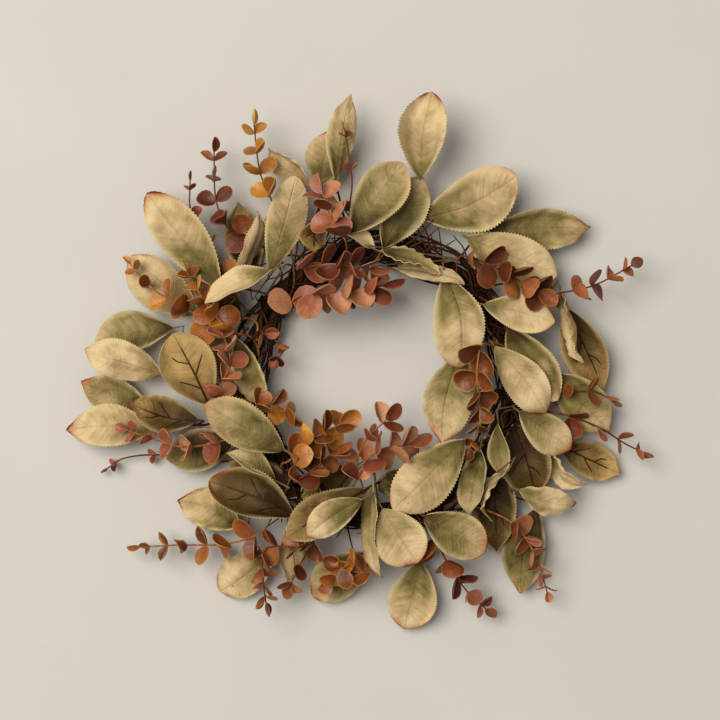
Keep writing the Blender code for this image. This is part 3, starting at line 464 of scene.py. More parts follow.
def petiole_points(lie, stem):
    """From the nearest point of the stem towards the blade's base."""
    root = nearest_on_path(stem, lie.start)
    reach = (lie.start - root).length
    if reach < PETIOLE_STRAIGHT:
        return [root]
    return [root, lie.start - lie.along * min(reach / 2, PETIOLE_BEND)]


def petiole_rows(blade, lie, points, spare=0):
    """Rows that carry the blade's base on to the stem. Their direction across turns with the path, so that
    a petiole that turns back isn't twisted."""
    across = (blade_point(blade, lie, 0, 1, PETIOLE_HALF_WIDTH)[0] - lie.start).normalized()
    alongs = directions([*points, lie.start])
    rows, before = [], lie.along
    for point, along in zip(points[::-1], alongs[-2::-1]):
        across = before.rotation_difference(along) @ across
        before = along
        out = across.cross(along)
        sides = [point - across * PETIOLE_HALF_WIDTH, point + across * PETIOLE_HALF_WIDTH]
        rows.append(slab_row(sides, [out, out], PETIOLE_HALF_WIDTH * 2 + spare))
    return rows[::-1]


first_blade = SPRAYS[0].leaves[0]
rows = blade_rows(first_blade, blade_lie(first_blade, (0, 0), 0, (0, 0, 0)), BLADE_WALL)
print("the first blade has", len(slab(rows)[1]), "triangles")

# %% A leaflet as a slab
# Outlines are distances along and half widths, in shares of the length
LEAFLET_WALL = 0.8 * MM
LEAFLET_NECK = 0.6 * MM
LARGE_OUTLINE = ((0.42, 0.5), (0.88, 0.31))
SMALL_OUTLINE = ((0.5, 0.46), (1, 0))
SMALL_LEAFLET = 11.5 * MM


def leaflet_rows(root, along, out, size, wall, start):
    """A round leaflet as rows across it, the first one narrow at its start."""
    across = along.cross(out).normalized()
    out = across.cross(along)
    shares = LARGE_OUTLINE if size > SMALL_LEAFLET else SMALL_OUTLINE
    rows = []
    for reach, half in [(start, LEAFLET_NECK), *((size * a, size * b) for a, b in shares)]:
        middle = root + along * reach
        points = [middle - across * half, middle + across * half] if half else [middle]
        rows.append(slab_row(points, [out] * len(points), wall))
    return rows


for size in (10 * MM, 15 * MM):
    rows = leaflet_rows(Vector(), Vector((1, 0, 0)), UP, size, LEAFLET_WALL, 0)
    print(f"a leaflet of {size / MM:.0f} mm has", len(slab(rows)[1]), "triangles")

# %% [markdown]
# ## Finding room
#
# Foliage fills every gap, yet no leaf goes through another. The layout remembers what has its place and
# tries small lifts and turns for each new piece until it crosses nothing. A search tree of triangles
# answers whether two pieces cross. All draws are seeded by name, so the result is the same each time.

# %% What is taken
SPARE = 0.5 * MM  # added to a wall while its place is tried
LOWEST = 1.2 * MM  # nothing but the bands is lower than this


def box_of(mesh):
    """The lowest and the highest corner of a mesh's box."""
    corners = mesh[0]
    return tuple(Vector(pick(c[k] for c in corners) for k in range(3)) for pick in (min, max))


class Clearance:
    """Remembers the pieces that have a place, and says whether a new one would cross them."""

    def __init__(self):
        self.placed = []

    def add(self, node, kind, mesh):
        self.placed.append((node, kind, BVHTree.FromPolygons(*mesh), *box_of(mesh)))

    def is_clear(self, node, mesh, own_kinds=()):
        """Pieces of the same node count only if their kind is listed."""
        low, high = box_of(mesh)
        if low.z < LOWEST:
            return False
        tree = None
        for other, kind, other_tree, other_low, other_high in self.placed:
            if other == node and kind not in own_kinds:
                continue
            if any(low[k] > other_high[k] or high[k] < other_low[k] for k in range(3)):
                continue
            tree = tree or BVHTree.FromPolygons(*mesh)
            if tree.overlap(other_tree):
                return False
        return True


room = Clearance()
print("pieces that have a place:", len(room.placed))

# %% [markdown]
# ## The ring
#
# Three vines twist round each other in a closed ring. Flat bands hold the stems to them, and the wreath
# rests on their flat feet. A band goes round the bundle and over the stems that lie on it, so it is a loop
# of ten corners that is cut off flat at its foot.

# %% Place the vines and the bands
VINE_STEPS, VINE_SIDES = 48, 5
SPRAY_STEM_RADIUS = 1.0 * MM
STUB_REACH = BUNDLE_RADIUS + GAP + SPRAY_STEM_RADIUS  # to the middle of a stem that lies on the vines
TIE_ANGLES = (85, 145, 205, 235, 295, 355)  # degrees round the ring
TIE_WIDTH = 5 * MM
TIE_CORNERS = 10
# from the middle of the bundle to a corner of a band's inside
TIE_REACH = (STUB_REACH + SPRAY_STEM_RADIUS + GAP) / math.cos(math.pi / TIE_CORNERS)


def band_place(degrees):
    """The middle of the bundle at a band, and the directions out of the ring and along it."""
    turn = math.radians(degrees)
    outward = Vector((math.cos(turn), math.sin(turn), 0))
    return on_bundle(turn, 0, 0), outward, UP.cross(outward)


def tie_section(reach_above, reach_below):
    """The loop of a band round the bundle, in radial and upward distances, with a flat foot."""
    angles = [2 * math.pi * (k + 0.5) / TIE_CORNERS for k in range(TIE_CORNERS)]
    return [(reach_above * math.cos(a), max(reach_above * math.sin(a), -reach_below)) for a in angles]


for vine in range(VINES):
    turns = [2 * math.pi * i / VINE_STEPS for i in range(VINE_STEPS)]
    middles = [on_bundle(t, crest(vine, t), VINE_OFFSET) for t in turns]
    outwards = [on_bundle(t, crest(vine, t), BUNDLE_RADIUS) - m for t, m in zip(turns, middles)]
    mesh = tube(middles, VINE_RADIUS, VINE_SIDES, normals=outwards, closed=True)
    room.add(f"vine_{vine + 1}", "vine", mesh)

sections = tie_section(TIE_REACH, BUNDLE_RADIUS + GAP), tie_section(TIE_REACH + TIE_WALL, RING_HEIGHT)
for number, degrees in enumerate(TIE_ANGLES, 1):
    middle, outward, along = band_place(degrees)
    corners = [middle + outward * x + UP * z + along * shift
               for section in sections for shift in (-TIE_WIDTH / 2, TIE_WIDTH / 2) for x, z in section]
    faces = []
    for k in range(TIE_CORNERS):
        n = (k + 1) % TIE_CORNERS
        for a, b in ((0, 1), (3, 2), (2, 0), (1, 3)):  # loops: 0 and 1 inside, 2 and 3 outside
            a, b = a * TIE_CORNERS, b * TIE_CORNERS
            faces.append((a + k, a + n, b + n, b + k))
    room.add(f"tie_{number}", "tie", (corners, faces))
print("pieces that have a place:", len(room.placed))

# %% [markdown]
# ## Stems
#
# A stem starts as a stub that lies along the top of a vine, rises, and follows its path on the plan. The
# path is lifted, its first point is moved aside, and other stubs are tried, until nothing is crossed.

# %% Place the stems of the sprays
SPRIG_STEM_RADIUS = 0.8 * MM
STEM_SIDES = 4
STUB_TURN = math.radians(7)  # the length of a stub, as a turn round the ring
STUB_LOWEST, STUB_HIGHEST = math.radians(-15), math.radians(195)  # round the bundle
STUB_RISE = 4 * MM
STUB_SEARCH = 30  # degrees to each side
STUB_TRIES = 24
LIFT_STEP = 1.5  # mm
LIFT_STEPS = range(-5, 13)
ENTRY_SHIFTS = sorted(
    ((x, y, z) for x in (-24, -12, 0, 12, 24) for y in (-24, -12, 0, 12, 24) for z in (-5, 0, 5)),
    key=lambda shift: math.hypot(*shift))


def stub_choices(degrees, first):
    """Short runs along the top of a vine near an angle of the ring, turned towards a stem's first point."""
    choices = []
    for shift in range(-STUB_SEARCH, STUB_SEARCH + 1, 2):
        turn = math.radians(degrees + shift)
        for vine in range(VINES):
            lean = (crest(vine, turn) + math.pi / 2) % (2 * math.pi) - math.pi / 2
            if not STUB_LOWEST < lean < STUB_HIGHEST:
                continue
            halves = (-STUB_TURN / 2, STUB_TURN / 2)
            run = [on_bundle(turn + h, crest(vine, turn + h), STUB_REACH) for h in halves]
            if (run[0] - first).length < (run[-1] - first).length:
                run.reverse()
            choices.append(((run[-1] - first).length + abs(shift) * MM, run))
    return [run for _, run in sorted(choices, key=lambda c: c[0])][:STUB_TRIES]


def place_stem(node, degrees, path, shape):
    """The way of a stem: a stub on a vine, a rise, then the path. The shape makes a mesh of a way."""
    for lift in sorted(LIFT_STEPS, key=abs):
        entry, *shown = [(x, y, height + lift * LIFT_STEP) for x, y, height in path]
        shown = [spot(*place) for place in shown]
        if len(shown) > 1 and not room.is_clear(node, tube(shown, SPRIG_STEM_RADIUS, STEM_SIDES)):
            continue
        for shift in ENTRY_SHIFTS:
            first = spot(*(place + aside for place, aside in zip(entry, shift)))
            for stub in stub_choices(degrees, first):
                rise = stub[1] + (stub[1] - stub[0]) / 2 + UP * STUB_RISE
                rise.xy = (rise.xy * 2 + first.xy) / 3
                way = [*stub, rise, first, *shown]
                if room.is_clear(node, shape(way, SPARE)):
                    room.add(node, "stem", shape(way, 0))
                    return way
    raise ValueError(f"{node}: its stem finds no way out")


def spray_stem(way, spare):
    """The stem of a spray of sage leaves."""
    return tube(way, SPRAY_STEM_RADIUS + spare / 2, STEM_SIDES)


ways = {spray.name: place_stem(spray.name, spray.ring, spray.path, spray_stem) for spray in SPRAYS}
print("spray stems that have a place:", len(ways))

# %% [markdown]
# ## Leaves
#
# The leaves of all sprays are laid from the back to the front, so the lowest come first. Each gets its own
# twist and waves, and its two ends are lifted until it crosses nothing. Then its stalk runs to the nearest
# point of the stem.

# %% Place the leaves
LEAF_TWIST = 18  # degrees, at most
LEAF_WAVE = (0.6, 1.6)  # least and most height of the waves near an edge, in mm
LEAF_WAVES = (2.4, 4)  # half waves from base to tip
LIFTS = sorted(  # of the base and of the tip, the smallest change first
    ((a * LIFT_STEP, b * LIFT_STEP) for a in LIFT_STEPS for b in LIFT_STEPS),
    key=lambda p: (abs(p[0]) + abs(p[1]) + 0.5 * abs(p[0] - p[1]), p))


def place_leaf(node, number, blade, stem):
    """How one leaf lies, and the points of its petiole."""
    rule = random.Random(f"{node} {number}")
    twist = math.radians(rule.uniform(-LEAF_TWIST, LEAF_TWIST))
    wave = (rule.uniform(*LEAF_WAVE) * MM, rule.uniform(*LEAF_WAVES), rule.uniform(0, 2))
    for lifts in LIFTS:
        lie = blade_lie(blade, lifts, twist, wave)
        if not room.is_clear(node, slab(blade_rows(blade, lie, BLADE_WALL + SPARE)), ("blade",)):
            continue
        points = petiole_points(lie, stem)
        rows = blade_rows(blade, lie, BLADE_WALL)
        if room.is_clear(node, slab([*petiole_rows(blade, lie, points, SPARE), rows[0]])):
            room.add(node, "blade", slab(rows))
            room.add(node, "petiole", slab([*petiole_rows(blade, lie, points), rows[0]]))
            return lie, points
    raise ValueError(f"{node}: leaf {number} finds no room")


order = sorted((sum(blade.heights), spray.name, number, blade)
               for spray in SPRAYS for number, blade in enumerate(spray.leaves))
leaves = {(name, number): place_leaf(name, number, blade, ways[name]) for _, name, number, blade in order}
print("leaves that have a place:", len(leaves))

# %% [markdown]
# ## Leaflets
#
# The leaflets of a sprig stand in pairs, each pair turned a quarter from the last, and one stands at the
# end. Its stem has a short straight length at each pair. A leaflet first leans as it grew, then turns more
# and more, then gets smaller, and is left out where even that finds no room.

# %% Place the stems of the sprigs
STUB_POINTS = 3
STEM_STEPS = 3  # from one point of the way to the next
NODE_HALF_LENGTH = 0.6 * MM
FIRST_PAIR, LAST_PAIR = 0.06, 0.92  # shares of the leafy length
CROWDING = 0.85  # under 1, the pairs stand closer together near the end


def pair_share(sprig, pair):
    """How far a pair is from the first pair to the last, from 0 to 1."""
    return pair / max(1, sprig.pairs - 1)


def sprig_stem(sprig, way, spare):
    """The stem of a sprig: its mesh, and the direction and the normal of each of its rings."""
    leafy = smooth_path(way, STEM_STEPS)[STUB_POINTS * STEM_STEPS:]
    points = way[:STUB_POINTS]
    alongs = directions(way)[:STUB_POINTS]
    for pair in range(sprig.pairs):
        share = FIRST_PAIR + (LAST_PAIR - FIRST_PAIR) * pair_share(sprig, pair) ** CROWDING
        point, along = along_path(leafy, share)
        points += [point - along * NODE_HALF_LENGTH, point + along * NODE_HALF_LENGTH]
        alongs += [along, along]
    alongs.append((leafy[-1] - points[-1]).normalized())
    points.append(leafy[-1])
    turn = math.radians(sprig.phase)
    normals = [Matrix.Rotation(turn, 3, along) @ normal for along, normal in zip(alongs, carried(alongs))]
    return tube(points, SPRIG_STEM_RADIUS + spare / 2, STEM_SIDES, alongs, normals), alongs, normals


for sprig in SPRIGS:
    ways[sprig.name] = place_stem(
        sprig.name, sprig.ring, sprig.path, lambda way, spare: sprig_stem(sprig, way, spare)[0])
print("stems that have a place:", len(ways))

# %% Place the leaflets
NECK_FREE = 1.5 * MM  # how far from its root a leaflet must be clear of its own sprig
LEAFLET_LEANS = (58, 44, 70, 34, 82)  # degrees from the stem
LEAFLET_LEAN_DRAW, LEAFLET_TWIST_DRAW = 7, 20  # degrees either way
LEAFLET_OPEN = (0.3, 1.6)  # how much a leaflet's face looks up
LEAFLET_TURNS = (0, 16, -16, 32, -32)  # degrees
LEAFLET_TWISTS = (0, 25, -25)  # degrees
LEAFLET_SCALES = (1, 0.82, 0.66)
END_TURNS = range(0, 180, 30)  # degrees, of the leaflet at the end


def leaflet_choices(rule, along, outward):
    """Directions and normals for a leaflet: first as it grew, then turned more and more."""
    choices = []
    open_to_above = rule.uniform(*LEAFLET_OPEN)
    for lean in LEAFLET_LEANS:
        lean = math.radians(lean + rule.uniform(-LEAFLET_LEAN_DRAW, LEAFLET_LEAN_DRAW))
        twist = rule.uniform(-LEAFLET_TWIST_DRAW, LEAFLET_TWIST_DRAW)
        for turn in LEAFLET_TURNS:
            spun = Matrix.Rotation(math.radians(turn), 3, along) @ outward
            direction = (along * math.cos(lean) + spun * math.sin(lean)).normalized()
            face = along * math.sin(lean) - spun * math.cos(lean) + UP * open_to_above
            for more in LEAFLET_TWISTS:
                turned = Matrix.Rotation(math.radians(twist + more), 3, direction) @ face
                choices.append((direction, turned))
    return choices


def place_leaflet(node, root, size, choices):
    """Root, direction, normal and size of one leaflet, or None."""
    for scale in LEAFLET_SCALES:
        for direction, face in choices:
            def shape(start, spare=0):
                wall = LEAFLET_WALL + spare
                return slab(leaflet_rows(root, direction, face, size * scale, wall, start))
            if room.is_clear(node, shape(NECK_FREE, SPARE), ("leaflet",)) and \
                    room.is_clear(node, shape(0, SPARE)):
                room.add(node, "leaflet", shape(NECK_FREE))
                room.add(node, "neck", shape(0))
                return root, direction, face, size * scale
    return None


def place_sprig(sprig):
    """The leaflets of a sprig that find room."""
    rule = random.Random(sprig.name)
    (corners, _), alongs, normals = sprig_stem(sprig, ways[sprig.name], 0)
    first, last = (size * MM for size in sprig.sizes)
    hosts = []
    for pair in range(sprig.pairs):
        ring = STUB_POINTS + 2 * pair
        here, there = ring * STEM_SIDES, (ring + 1) * STEM_SIDES
        for side in (pair % 2, pair % 2 + 2):
            n = (side + 1) % STEM_SIDES
            host = [here + side, here + n, there + n, there + side]
            turn = math.radians(360 / STEM_SIDES * (side + 0.5))
            outward = Matrix.Rotation(turn, 3, alongs[ring]) @ normals[ring]
            choices = leaflet_choices(rule, alongs[ring], outward)
            hosts.append((host, first + (last - first) * pair_share(sprig, pair), choices))
    choices = [(alongs[-1], Matrix.Rotation(math.radians(turn), 3, alongs[-1]) @ normals[-1])
               for turn in END_TURNS]
    hosts.append((range(len(corners) - STEM_SIDES, len(corners)), last, choices))
    roots = [sum((corners[i] for i in host), Vector()) / len(host) for host, _, _ in hosts]
    found = [place_leaflet(sprig.name, root, *host[1:]) for root, host in zip(roots, hosts)]
    return [leaflet for leaflet in found if leaflet]


leaflets = {sprig.name: place_sprig(sprig) for sprig in SPRIGS}
print("leaflets that have a place:", sum(map(len, leaflets.values())))

# %% [markdown]
# The tip of each leaf should lie in its solid. The nearest corner of the solid is half a wall away, so
# this measures how well the two layouts agree.

# %% Compare with the solids
def corner_distance(node, point):
    """How far the nearest corner of a CAD node is from a point."""
    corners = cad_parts[node].data.vertices
    tree = KDTree(len(corners))
    for index, corner in enumerate(corners):
        tree.insert(corner.co, index)
    tree.balance()
    return tree.find(point)[2]


furthest = max(corner_distance(name, lie.end) for (name, number), (lie, petiole) in leaves.items())
print(f"leaf tips lie within {furthest / MM:.2f} mm of a corner of their solid")

# %% [markdown]
# ## Fine bare twigs
#
# Between the leaves the ring bristles with thin dark twigs. They lie on top of the vines and point out along
# the ring, and one is kept only where it crosses no solid. They belong to the look of their spray.

# %% Find room for the twigs
TWIG_TRIES = 34
TWIG_RADIUS = 0.65 * MM
TWIG_LENGTH = (14, 40)  # mm
TWIG_SPAN = 15  # degrees of the ring to each side of the spray
TWIG_TURN = (0.5, 1.5)  # how far a twig turns from straight outward, in radians
TWIG_RISE = 12  # mm, at most
TWIG_KNEE = (0.4, 0.6)  # where it bends, as a share of its length
TWIG_BEND = 0.14  # of its length, to the side
fine_twigs = {}
for spray in SPRAYS:
    rule = random.Random("twigs " + spray.name)
    fine_twigs[spray.name] = []
    for _ in range(TWIG_TRIES):
        turn = math.radians(spray.ring + rule.uniform(-TWIG_SPAN, TWIG_SPAN))
        root = on_bundle(turn, rule.uniform(0, math.pi), STUB_REACH)
        heading = turn + rule.choice((-1, 1)) * rule.uniform(*TWIG_TURN)
        reach = Vector((math.cos(heading), math.sin(heading), 0)) * rule.uniform(*TWIG_LENGTH) * MM
        end = root + reach + UP * rule.uniform(0, TWIG_RISE) * MM
        knee = root.lerp(end, rule.uniform(*TWIG_KNEE))
        knee += UP.cross(reach) * rule.uniform(-TWIG_BEND, TWIG_BEND)
        rod = tube([root, knee, end], TWIG_RADIUS, STEM_SIDES)
        if room.is_clear(spray.name, rod, ("stem", "blade", "petiole")):
            room.add(spray.name, "stem", rod)
            fine_twigs[spray.name].append([root, knee, end])
print(sum(map(len, fine_twigs.values())), "bare twigs")

# %% [markdown]
# ## Colours and nodes
#
# Colours are picked as sRGB hex values and turned to linear light by one function. Another small function
# adds a shader node with its settings and links, so that each material below reads as a list.

# %% Helpers for materials
TIMES = {"operation": "MULTIPLY"}
PLUS = {"operation": "ADD"}
TIMES_PLUS = {"operation": "MULTIPLY_ADD"}
BLEND = {"data_type": "RGBA"}  # factor is input 0, the colours are 6 and 7, the result is output 2
SMOOTH = {"interpolation_type": "SMOOTHSTEP"}  # from input 1 to input 2


def colour(code):
    """Linear RGBA from an sRGB hex value."""
    parts = [int(code[i:i + 2], 16) / 255 for i in (1, 3, 5)]
    return (*[c / 12.92 if c <= 0.04045 else ((c + 0.055) / 1.055) ** 2.4 for c in parts], 1)


def new_material(name):
    """A material with its node tree, and its Principled BSDF."""
    material = bpy.data.materials.new(name)
    material.use_nodes = True
    return material, material.node_tree, material.node_tree.nodes["Principled BSDF"]


def add(tree, kind, settings, links=None, result=0):
    """Adds a shader node and returns one of its outputs. A setting is a property by its name, the value
    of an input by its number, or the stops of a colour ramp. A link is a socket by its input's number."""
    node = tree.nodes.new("ShaderNode" + kind)
    for key, value in settings.items():
        if isinstance(key, int):
            node.inputs[key].default_value = value
        elif key == "stops":
            elements = node.color_ramp.elements
            for element, (place, code) in zip(elements, (value[0], value[-1])):
                element.position, element.color = place, colour(code)
            for place, code in value[1:-1]:
                elements.new(place).color = colour(code)
        else:
            setattr(node, key, value)
    for key, socket in (links or {}).items():
        tree.links.new(socket, node.inputs[key])
    return node.outputs[result]


def finish_surface(tree, surface, base, relief, roughness, specular, strength, depth):
    """Gives a surface its colour, its shine, and a relief of a depth in metres."""
    tree.links.new(base, surface.inputs["Base Color"])
    surface.inputs["Roughness"].default_value = roughness
    surface.inputs["Specular IOR Level"].default_value = specular
    bump = add(tree, "Bump", {0: strength, 1: depth}, {3: relief})
    tree.links.new(bump, surface.inputs["Normal"])


print("colour helper: #808080 is", round(colour("#808080")[0], 3))

# %% [markdown]
# ## Sage leaf cloth
#
# The leaves are matte, like dyed cloth or a preserved leaf: olive where they leave their stalk, and then
# khaki and cream towards the tip and the edges, with a blush of peach or red at many tips. The darkening
# towards the stalk and the broad clouds of darker colour are partly the leaf's own colour and partly painted
# shade, for the shading of curved and overlapping leaves. Faint streaks run out from the midrib at a slant.
# The pattern follows each leaf, so it reads the leaf's own UV map, with u across and v from base to tip. An
# attribute holds the shade and the blush of each leaf.

# %% Sage leaf material
LEAF_CLOUDS = 1000 / 15  # per metre: clouds of shade about 15 mm wide
LEAF_DENTS = 1000 / 11
LEAF_SPECKS = 1000 / 4
LEAF_GRAIN = 1000 / 1.1  # cloth grain about 1 mm wide
SIDE_VEINS, VEIN_SLANT = 8, 1.5  # how many, and how far they lean towards the tip
VEIN_BEND = 1.25  # over 1, a side vein bends towards the tip


def leaf_places(tree):
    """Sockets for the distance from the midrib, from 0 to 1, and along the leaf, then for its shade, its
    blush and a number of its own."""
    uv = add(tree, "UVMap", {})
    u = add(tree, "SeparateXYZ", {}, {0: uv}, 0)
    v = add(tree, "SeparateXYZ", {}, {0: uv}, 1)
    looks = add(tree, "Attribute", {"attribute_name": "looks"}, {}, 1)
    split = [add(tree, "SeparateXYZ", {}, {0: looks}, k) for k in range(3)]
    signed = add(tree, "Math", {**TIMES_PLUS, 1: 2, 2: -1}, {0: u})
    return add(tree, "Math", {"operation": "ABSOLUTE"}, {0: signed}), v, *split


def vein_phase(tree, across, along, count, slant):
    """Counts the side veins from base to tip. They leave the midrib at a slant and bend towards the tip."""
    bent = add(tree, "Math", {"operation": "POWER", 1: VEIN_BEND}, {0: across})
    back = add(tree, "Math", {**TIMES, 1: -slant}, {0: bent})
    return add(tree, "Math", {**TIMES_PLUS, 1: count}, {0: along, 2: back})


def vein_lines(tree, across, phase, fine=1):
    """Thin lines: 1 on the midrib, and a share of it on the side veins, which fade towards the edge."""
    wave = add(tree, "Math", {**TIMES, 1: 2 * math.pi}, {0: phase})
    wave = add(tree, "Math", {"operation": "COSINE"}, {0: wave})
    side = add(tree, "MapRange", {**SMOOTH, 1: 0.8, 2: 1, 4: fine}, {0: wave})
    fade = add(tree, "MapRange", {**SMOOTH, 1: 1, 2: 0.3}, {0: across})
    side = add(tree, "Math", TIMES, {0: side, 1: fade})
    middle = add(tree, "MapRange", {**SMOOTH, 1: 0.07, 2: 0.01}, {0: across})
    return add(tree, "Math", {"operation": "MAXIMUM"}, {0: side, 1: middle})


def sage_material(name, stops, edge, tip, end, veins, vein, midrib_depth):
    """One side of the sage leaves."""
    material, tree, surface = new_material(name)
    across, along, shade, blush, own = leaf_places(tree)
    place = add(tree, "TexCoord", {}, {}, 3)
    clouds = add(tree, "TexNoise", {2: LEAF_CLOUDS, 3: 3}, {0: place})
    grain = add(tree, "TexNoise", {2: LEAF_GRAIN, 3: 4}, {0: place})
    dents = add(tree, "TexNoise", {2: LEAF_DENTS, 3: 2}, {0: place})
    phase = vein_phase(tree, across, along, SIDE_VEINS, VEIN_SLANT)
    lines = vein_lines(tree, across, phase, 0.4)
    # streaks: noise that is drawn out along the side veins, different on each leaf
    narrow = add(tree, "Math", {**TIMES, 1: 2.2}, {0: phase})
    start = add(tree, "Math", {**TIMES, 1: 40}, {0: own})
    streak_place = add(tree, "CombineXYZ", {}, {0: across, 1: narrow, 2: start})
    streaks = add(tree, "TexNoise", {2: 1.3, 3: 3}, {0: streak_place})
    # the shade falls from the base to the tip, unevenly: partly the leaf's own olive base and partly painted
    # shade, as are the darker clouds
    for part, weight in ((clouds, 1.1), (streaks, 0.28), (grain, 0.2), (along, -0.85)):
        shade = add(tree, "Math", {**TIMES_PLUS, 1: weight}, {0: part, 2: shade})
    shade = add(tree, "Math", {**PLUS, 1: -0.3}, {0: shade})
    base = add(tree, "ValToRGB", {"stops": stops}, {0: shade})
    # the edge is pale
    border = add(tree, "Math", {**TIMES_PLUS, 1: 0.5}, {0: clouds, 2: across})
    border = add(tree, "MapRange", {**SMOOTH, 1: 0.9, 2: 1.3, 4: 0.8}, {0: border})
    # the blush spreads from the tip and along the edges near it, and is burnt at the very end
    square = add(tree, "Math", TIMES, {0: across, 1: across})
    reach = add(tree, "Math", {**TIMES_PLUS, 1: 0.3}, {0: clouds, 2: along})
    reach = add(tree, "Math", {**TIMES_PLUS, 1: 0.14}, {0: square, 2: reach})
    flush = add(tree, "MapRange", {**SMOOTH, 1: 1.02, 2: 1.24}, {0: reach})
    flush = add(tree, "Math", {**TIMES, "use_clamp": True}, {0: flush, 1: blush})
    burnt = add(tree, "MapRange", {**SMOOTH, 1: 1.14, 2: 1.26}, {0: reach})
    burnt = add(tree, "Math", {**TIMES, "use_clamp": True}, {0: burnt, 1: blush})
    # a few brown specks of age
    speck = add(tree, "TexNoise", {2: LEAF_SPECKS, 3: 2}, {0: place})
    speck = add(tree, "MapRange", {**SMOOTH, 1: 0.68, 2: 0.8, 4: 0.5}, {0: speck})
    faint = add(tree, "Math", {**TIMES, 1: veins}, {0: lines})
    for code, where in ((edge, border), (tip, flush), (end, burnt), (end, speck), (vein, faint)):
        base = add(tree, "Mix", {**BLEND, 7: colour(code)}, {0: where, 6: base}, 2)
    relief = streaks
    for part, weight in ((lines, midrib_depth), (dents, 3), (grain, 0.5)):
        relief = add(tree, "Math", {**TIMES_PLUS, 1: weight}, {0: part, 2: relief})
    finish_surface(tree, surface, base, relief, roughness=0.62, specular=0.18, strength=0.5, depth=0.0009)
    return material


# pale cloth that turns from cream to olive, read as a preserved leaf's dry upper face, with painted shade at
# its dark olive end
sage_face = sage_material(
    "sage_leaf_face", [(0, "#dbbf8d"), (0.28, "#b69b6b"), (0.6, "#7d6e3b"), (1, "#42310f")],
    edge="#dcc28c", tip="#b8612f", end="#6a2c14", veins=0.11, vein="#5c4a22", midrib_depth=-1)
# the underside is more yellow, with plain fine veins
sage_under = sage_material(
    "sage_leaf_underside", [(0, "#b89759"), (0.28, "#927441"), (0.6, "#614820"), (1, "#35260b")],
    edge="#bda26a", tip="#a65e38", end="#632f1d", veins=0.4, vein="#4a3b18", midrib_depth=0.5)
print("materials:", sage_face.name, sage_under.name)

# %% [markdown]
# ## Stem wood
#
# The stalks are dark brown and slightly glossy, those of the sprigs redder or tan. The vines have a rough
# relief of bark.

# %% Stem, bark and tape materials
def twig_material(name, dark, light, roughness, grain_mm, depth):
    """Brown wood with streaks of a size in millimetres, and bark relief of a depth in metres."""
    material, tree, surface = new_material(name)
    place = add(tree, "TexCoord", {}, {}, 3)
    streaks = add(tree, "TexNoise", {2: 1000 / grain_mm, 3: 4}, {0: place})
    base = add(tree, "ValToRGB", {"stops": [(0.3, dark), (0.7, light)]}, {0: streaks})
    finish_surface(tree, surface, base, streaks, roughness, specular=0.12, strength=0.6, depth=depth)
    return material


# almost black-brown wood of the stems, of the midribs that show, and of the bare twigs
sage_stalk = twig_material("sage_stalk", "#281202", "#51290f", roughness=0.42, grain_mm=3, depth=0.0003)
# greenish brown of a leaf's own stalk
leaf_stalk = twig_material("leaf_stalk", "#5b4a2c", "#86704a", roughness=0.55, grain_mm=3, depth=0.0002)
# dark bark with a dull shine
vine_wood = twig_material("vine_wood", "#170900", "#3b1c05", roughness=0.5, grain_mm=2.2, depth=0.0008)
# wound paper tape, smoother and darker than the bark
wound_tape = twig_material("wound_tape", "#150900", "#2e1605", roughness=0.4, grain_mm=1.2, depth=0.0002)
print("materials:", sage_stalk.name, leaf_stalk.name, vine_wood.name, wound_tape.name)

# %% [markdown]
# ## Leaflet cloth
#
# The small round leaflets are slightly waxy and let some light through. One sprig runs through several hues,
# so each leaflet has its own place on a ramp. Inside it the hue drifts from its dark root to its pale rim.
# The drift away from the root is painted light for the light that shines through the thin leaflet, and the
# clouds are partly mottling and partly painted light and shade on the cupped leaflets.

# %% Leaflet materials
LEAFLET_CLOUDS = 1000 / 5  # per metre: clouds of shade about 5 mm wide
LEAFLET_VEINS, LEAFLET_SLANT = 5, 1.2
# per colour of sprig: hues from dark to pale, and the dark and light wood of its stem
SPRIG_HUES = {
    "burgundy": ([(0, "#41190b"), (0.5, "#76371a"), (1, "#ac6636")], "#4a1f10", "#7b4124"),
    "rust": ([(0, "#461a08"), (0.5, "#7f401c"), (1, "#b5733e")], "#532610", "#884a25"),
    "pink": ([(0, "#602912"), (0.5, "#995232"), (1, "#c88b5f")], "#7a4023", "#ae7145"),
    "orange": ([(0, "#5c2a0d"), (0.45, "#914c1e"), (0.8, "#b06b23"), (1, "#cf9339")], "#7d441e", "#b5753c"),
    "mustard": ([(0, "#774012"), (0.5, "#b87826"), (1, "#d9a444")], "#52331a", "#80532b"),
}


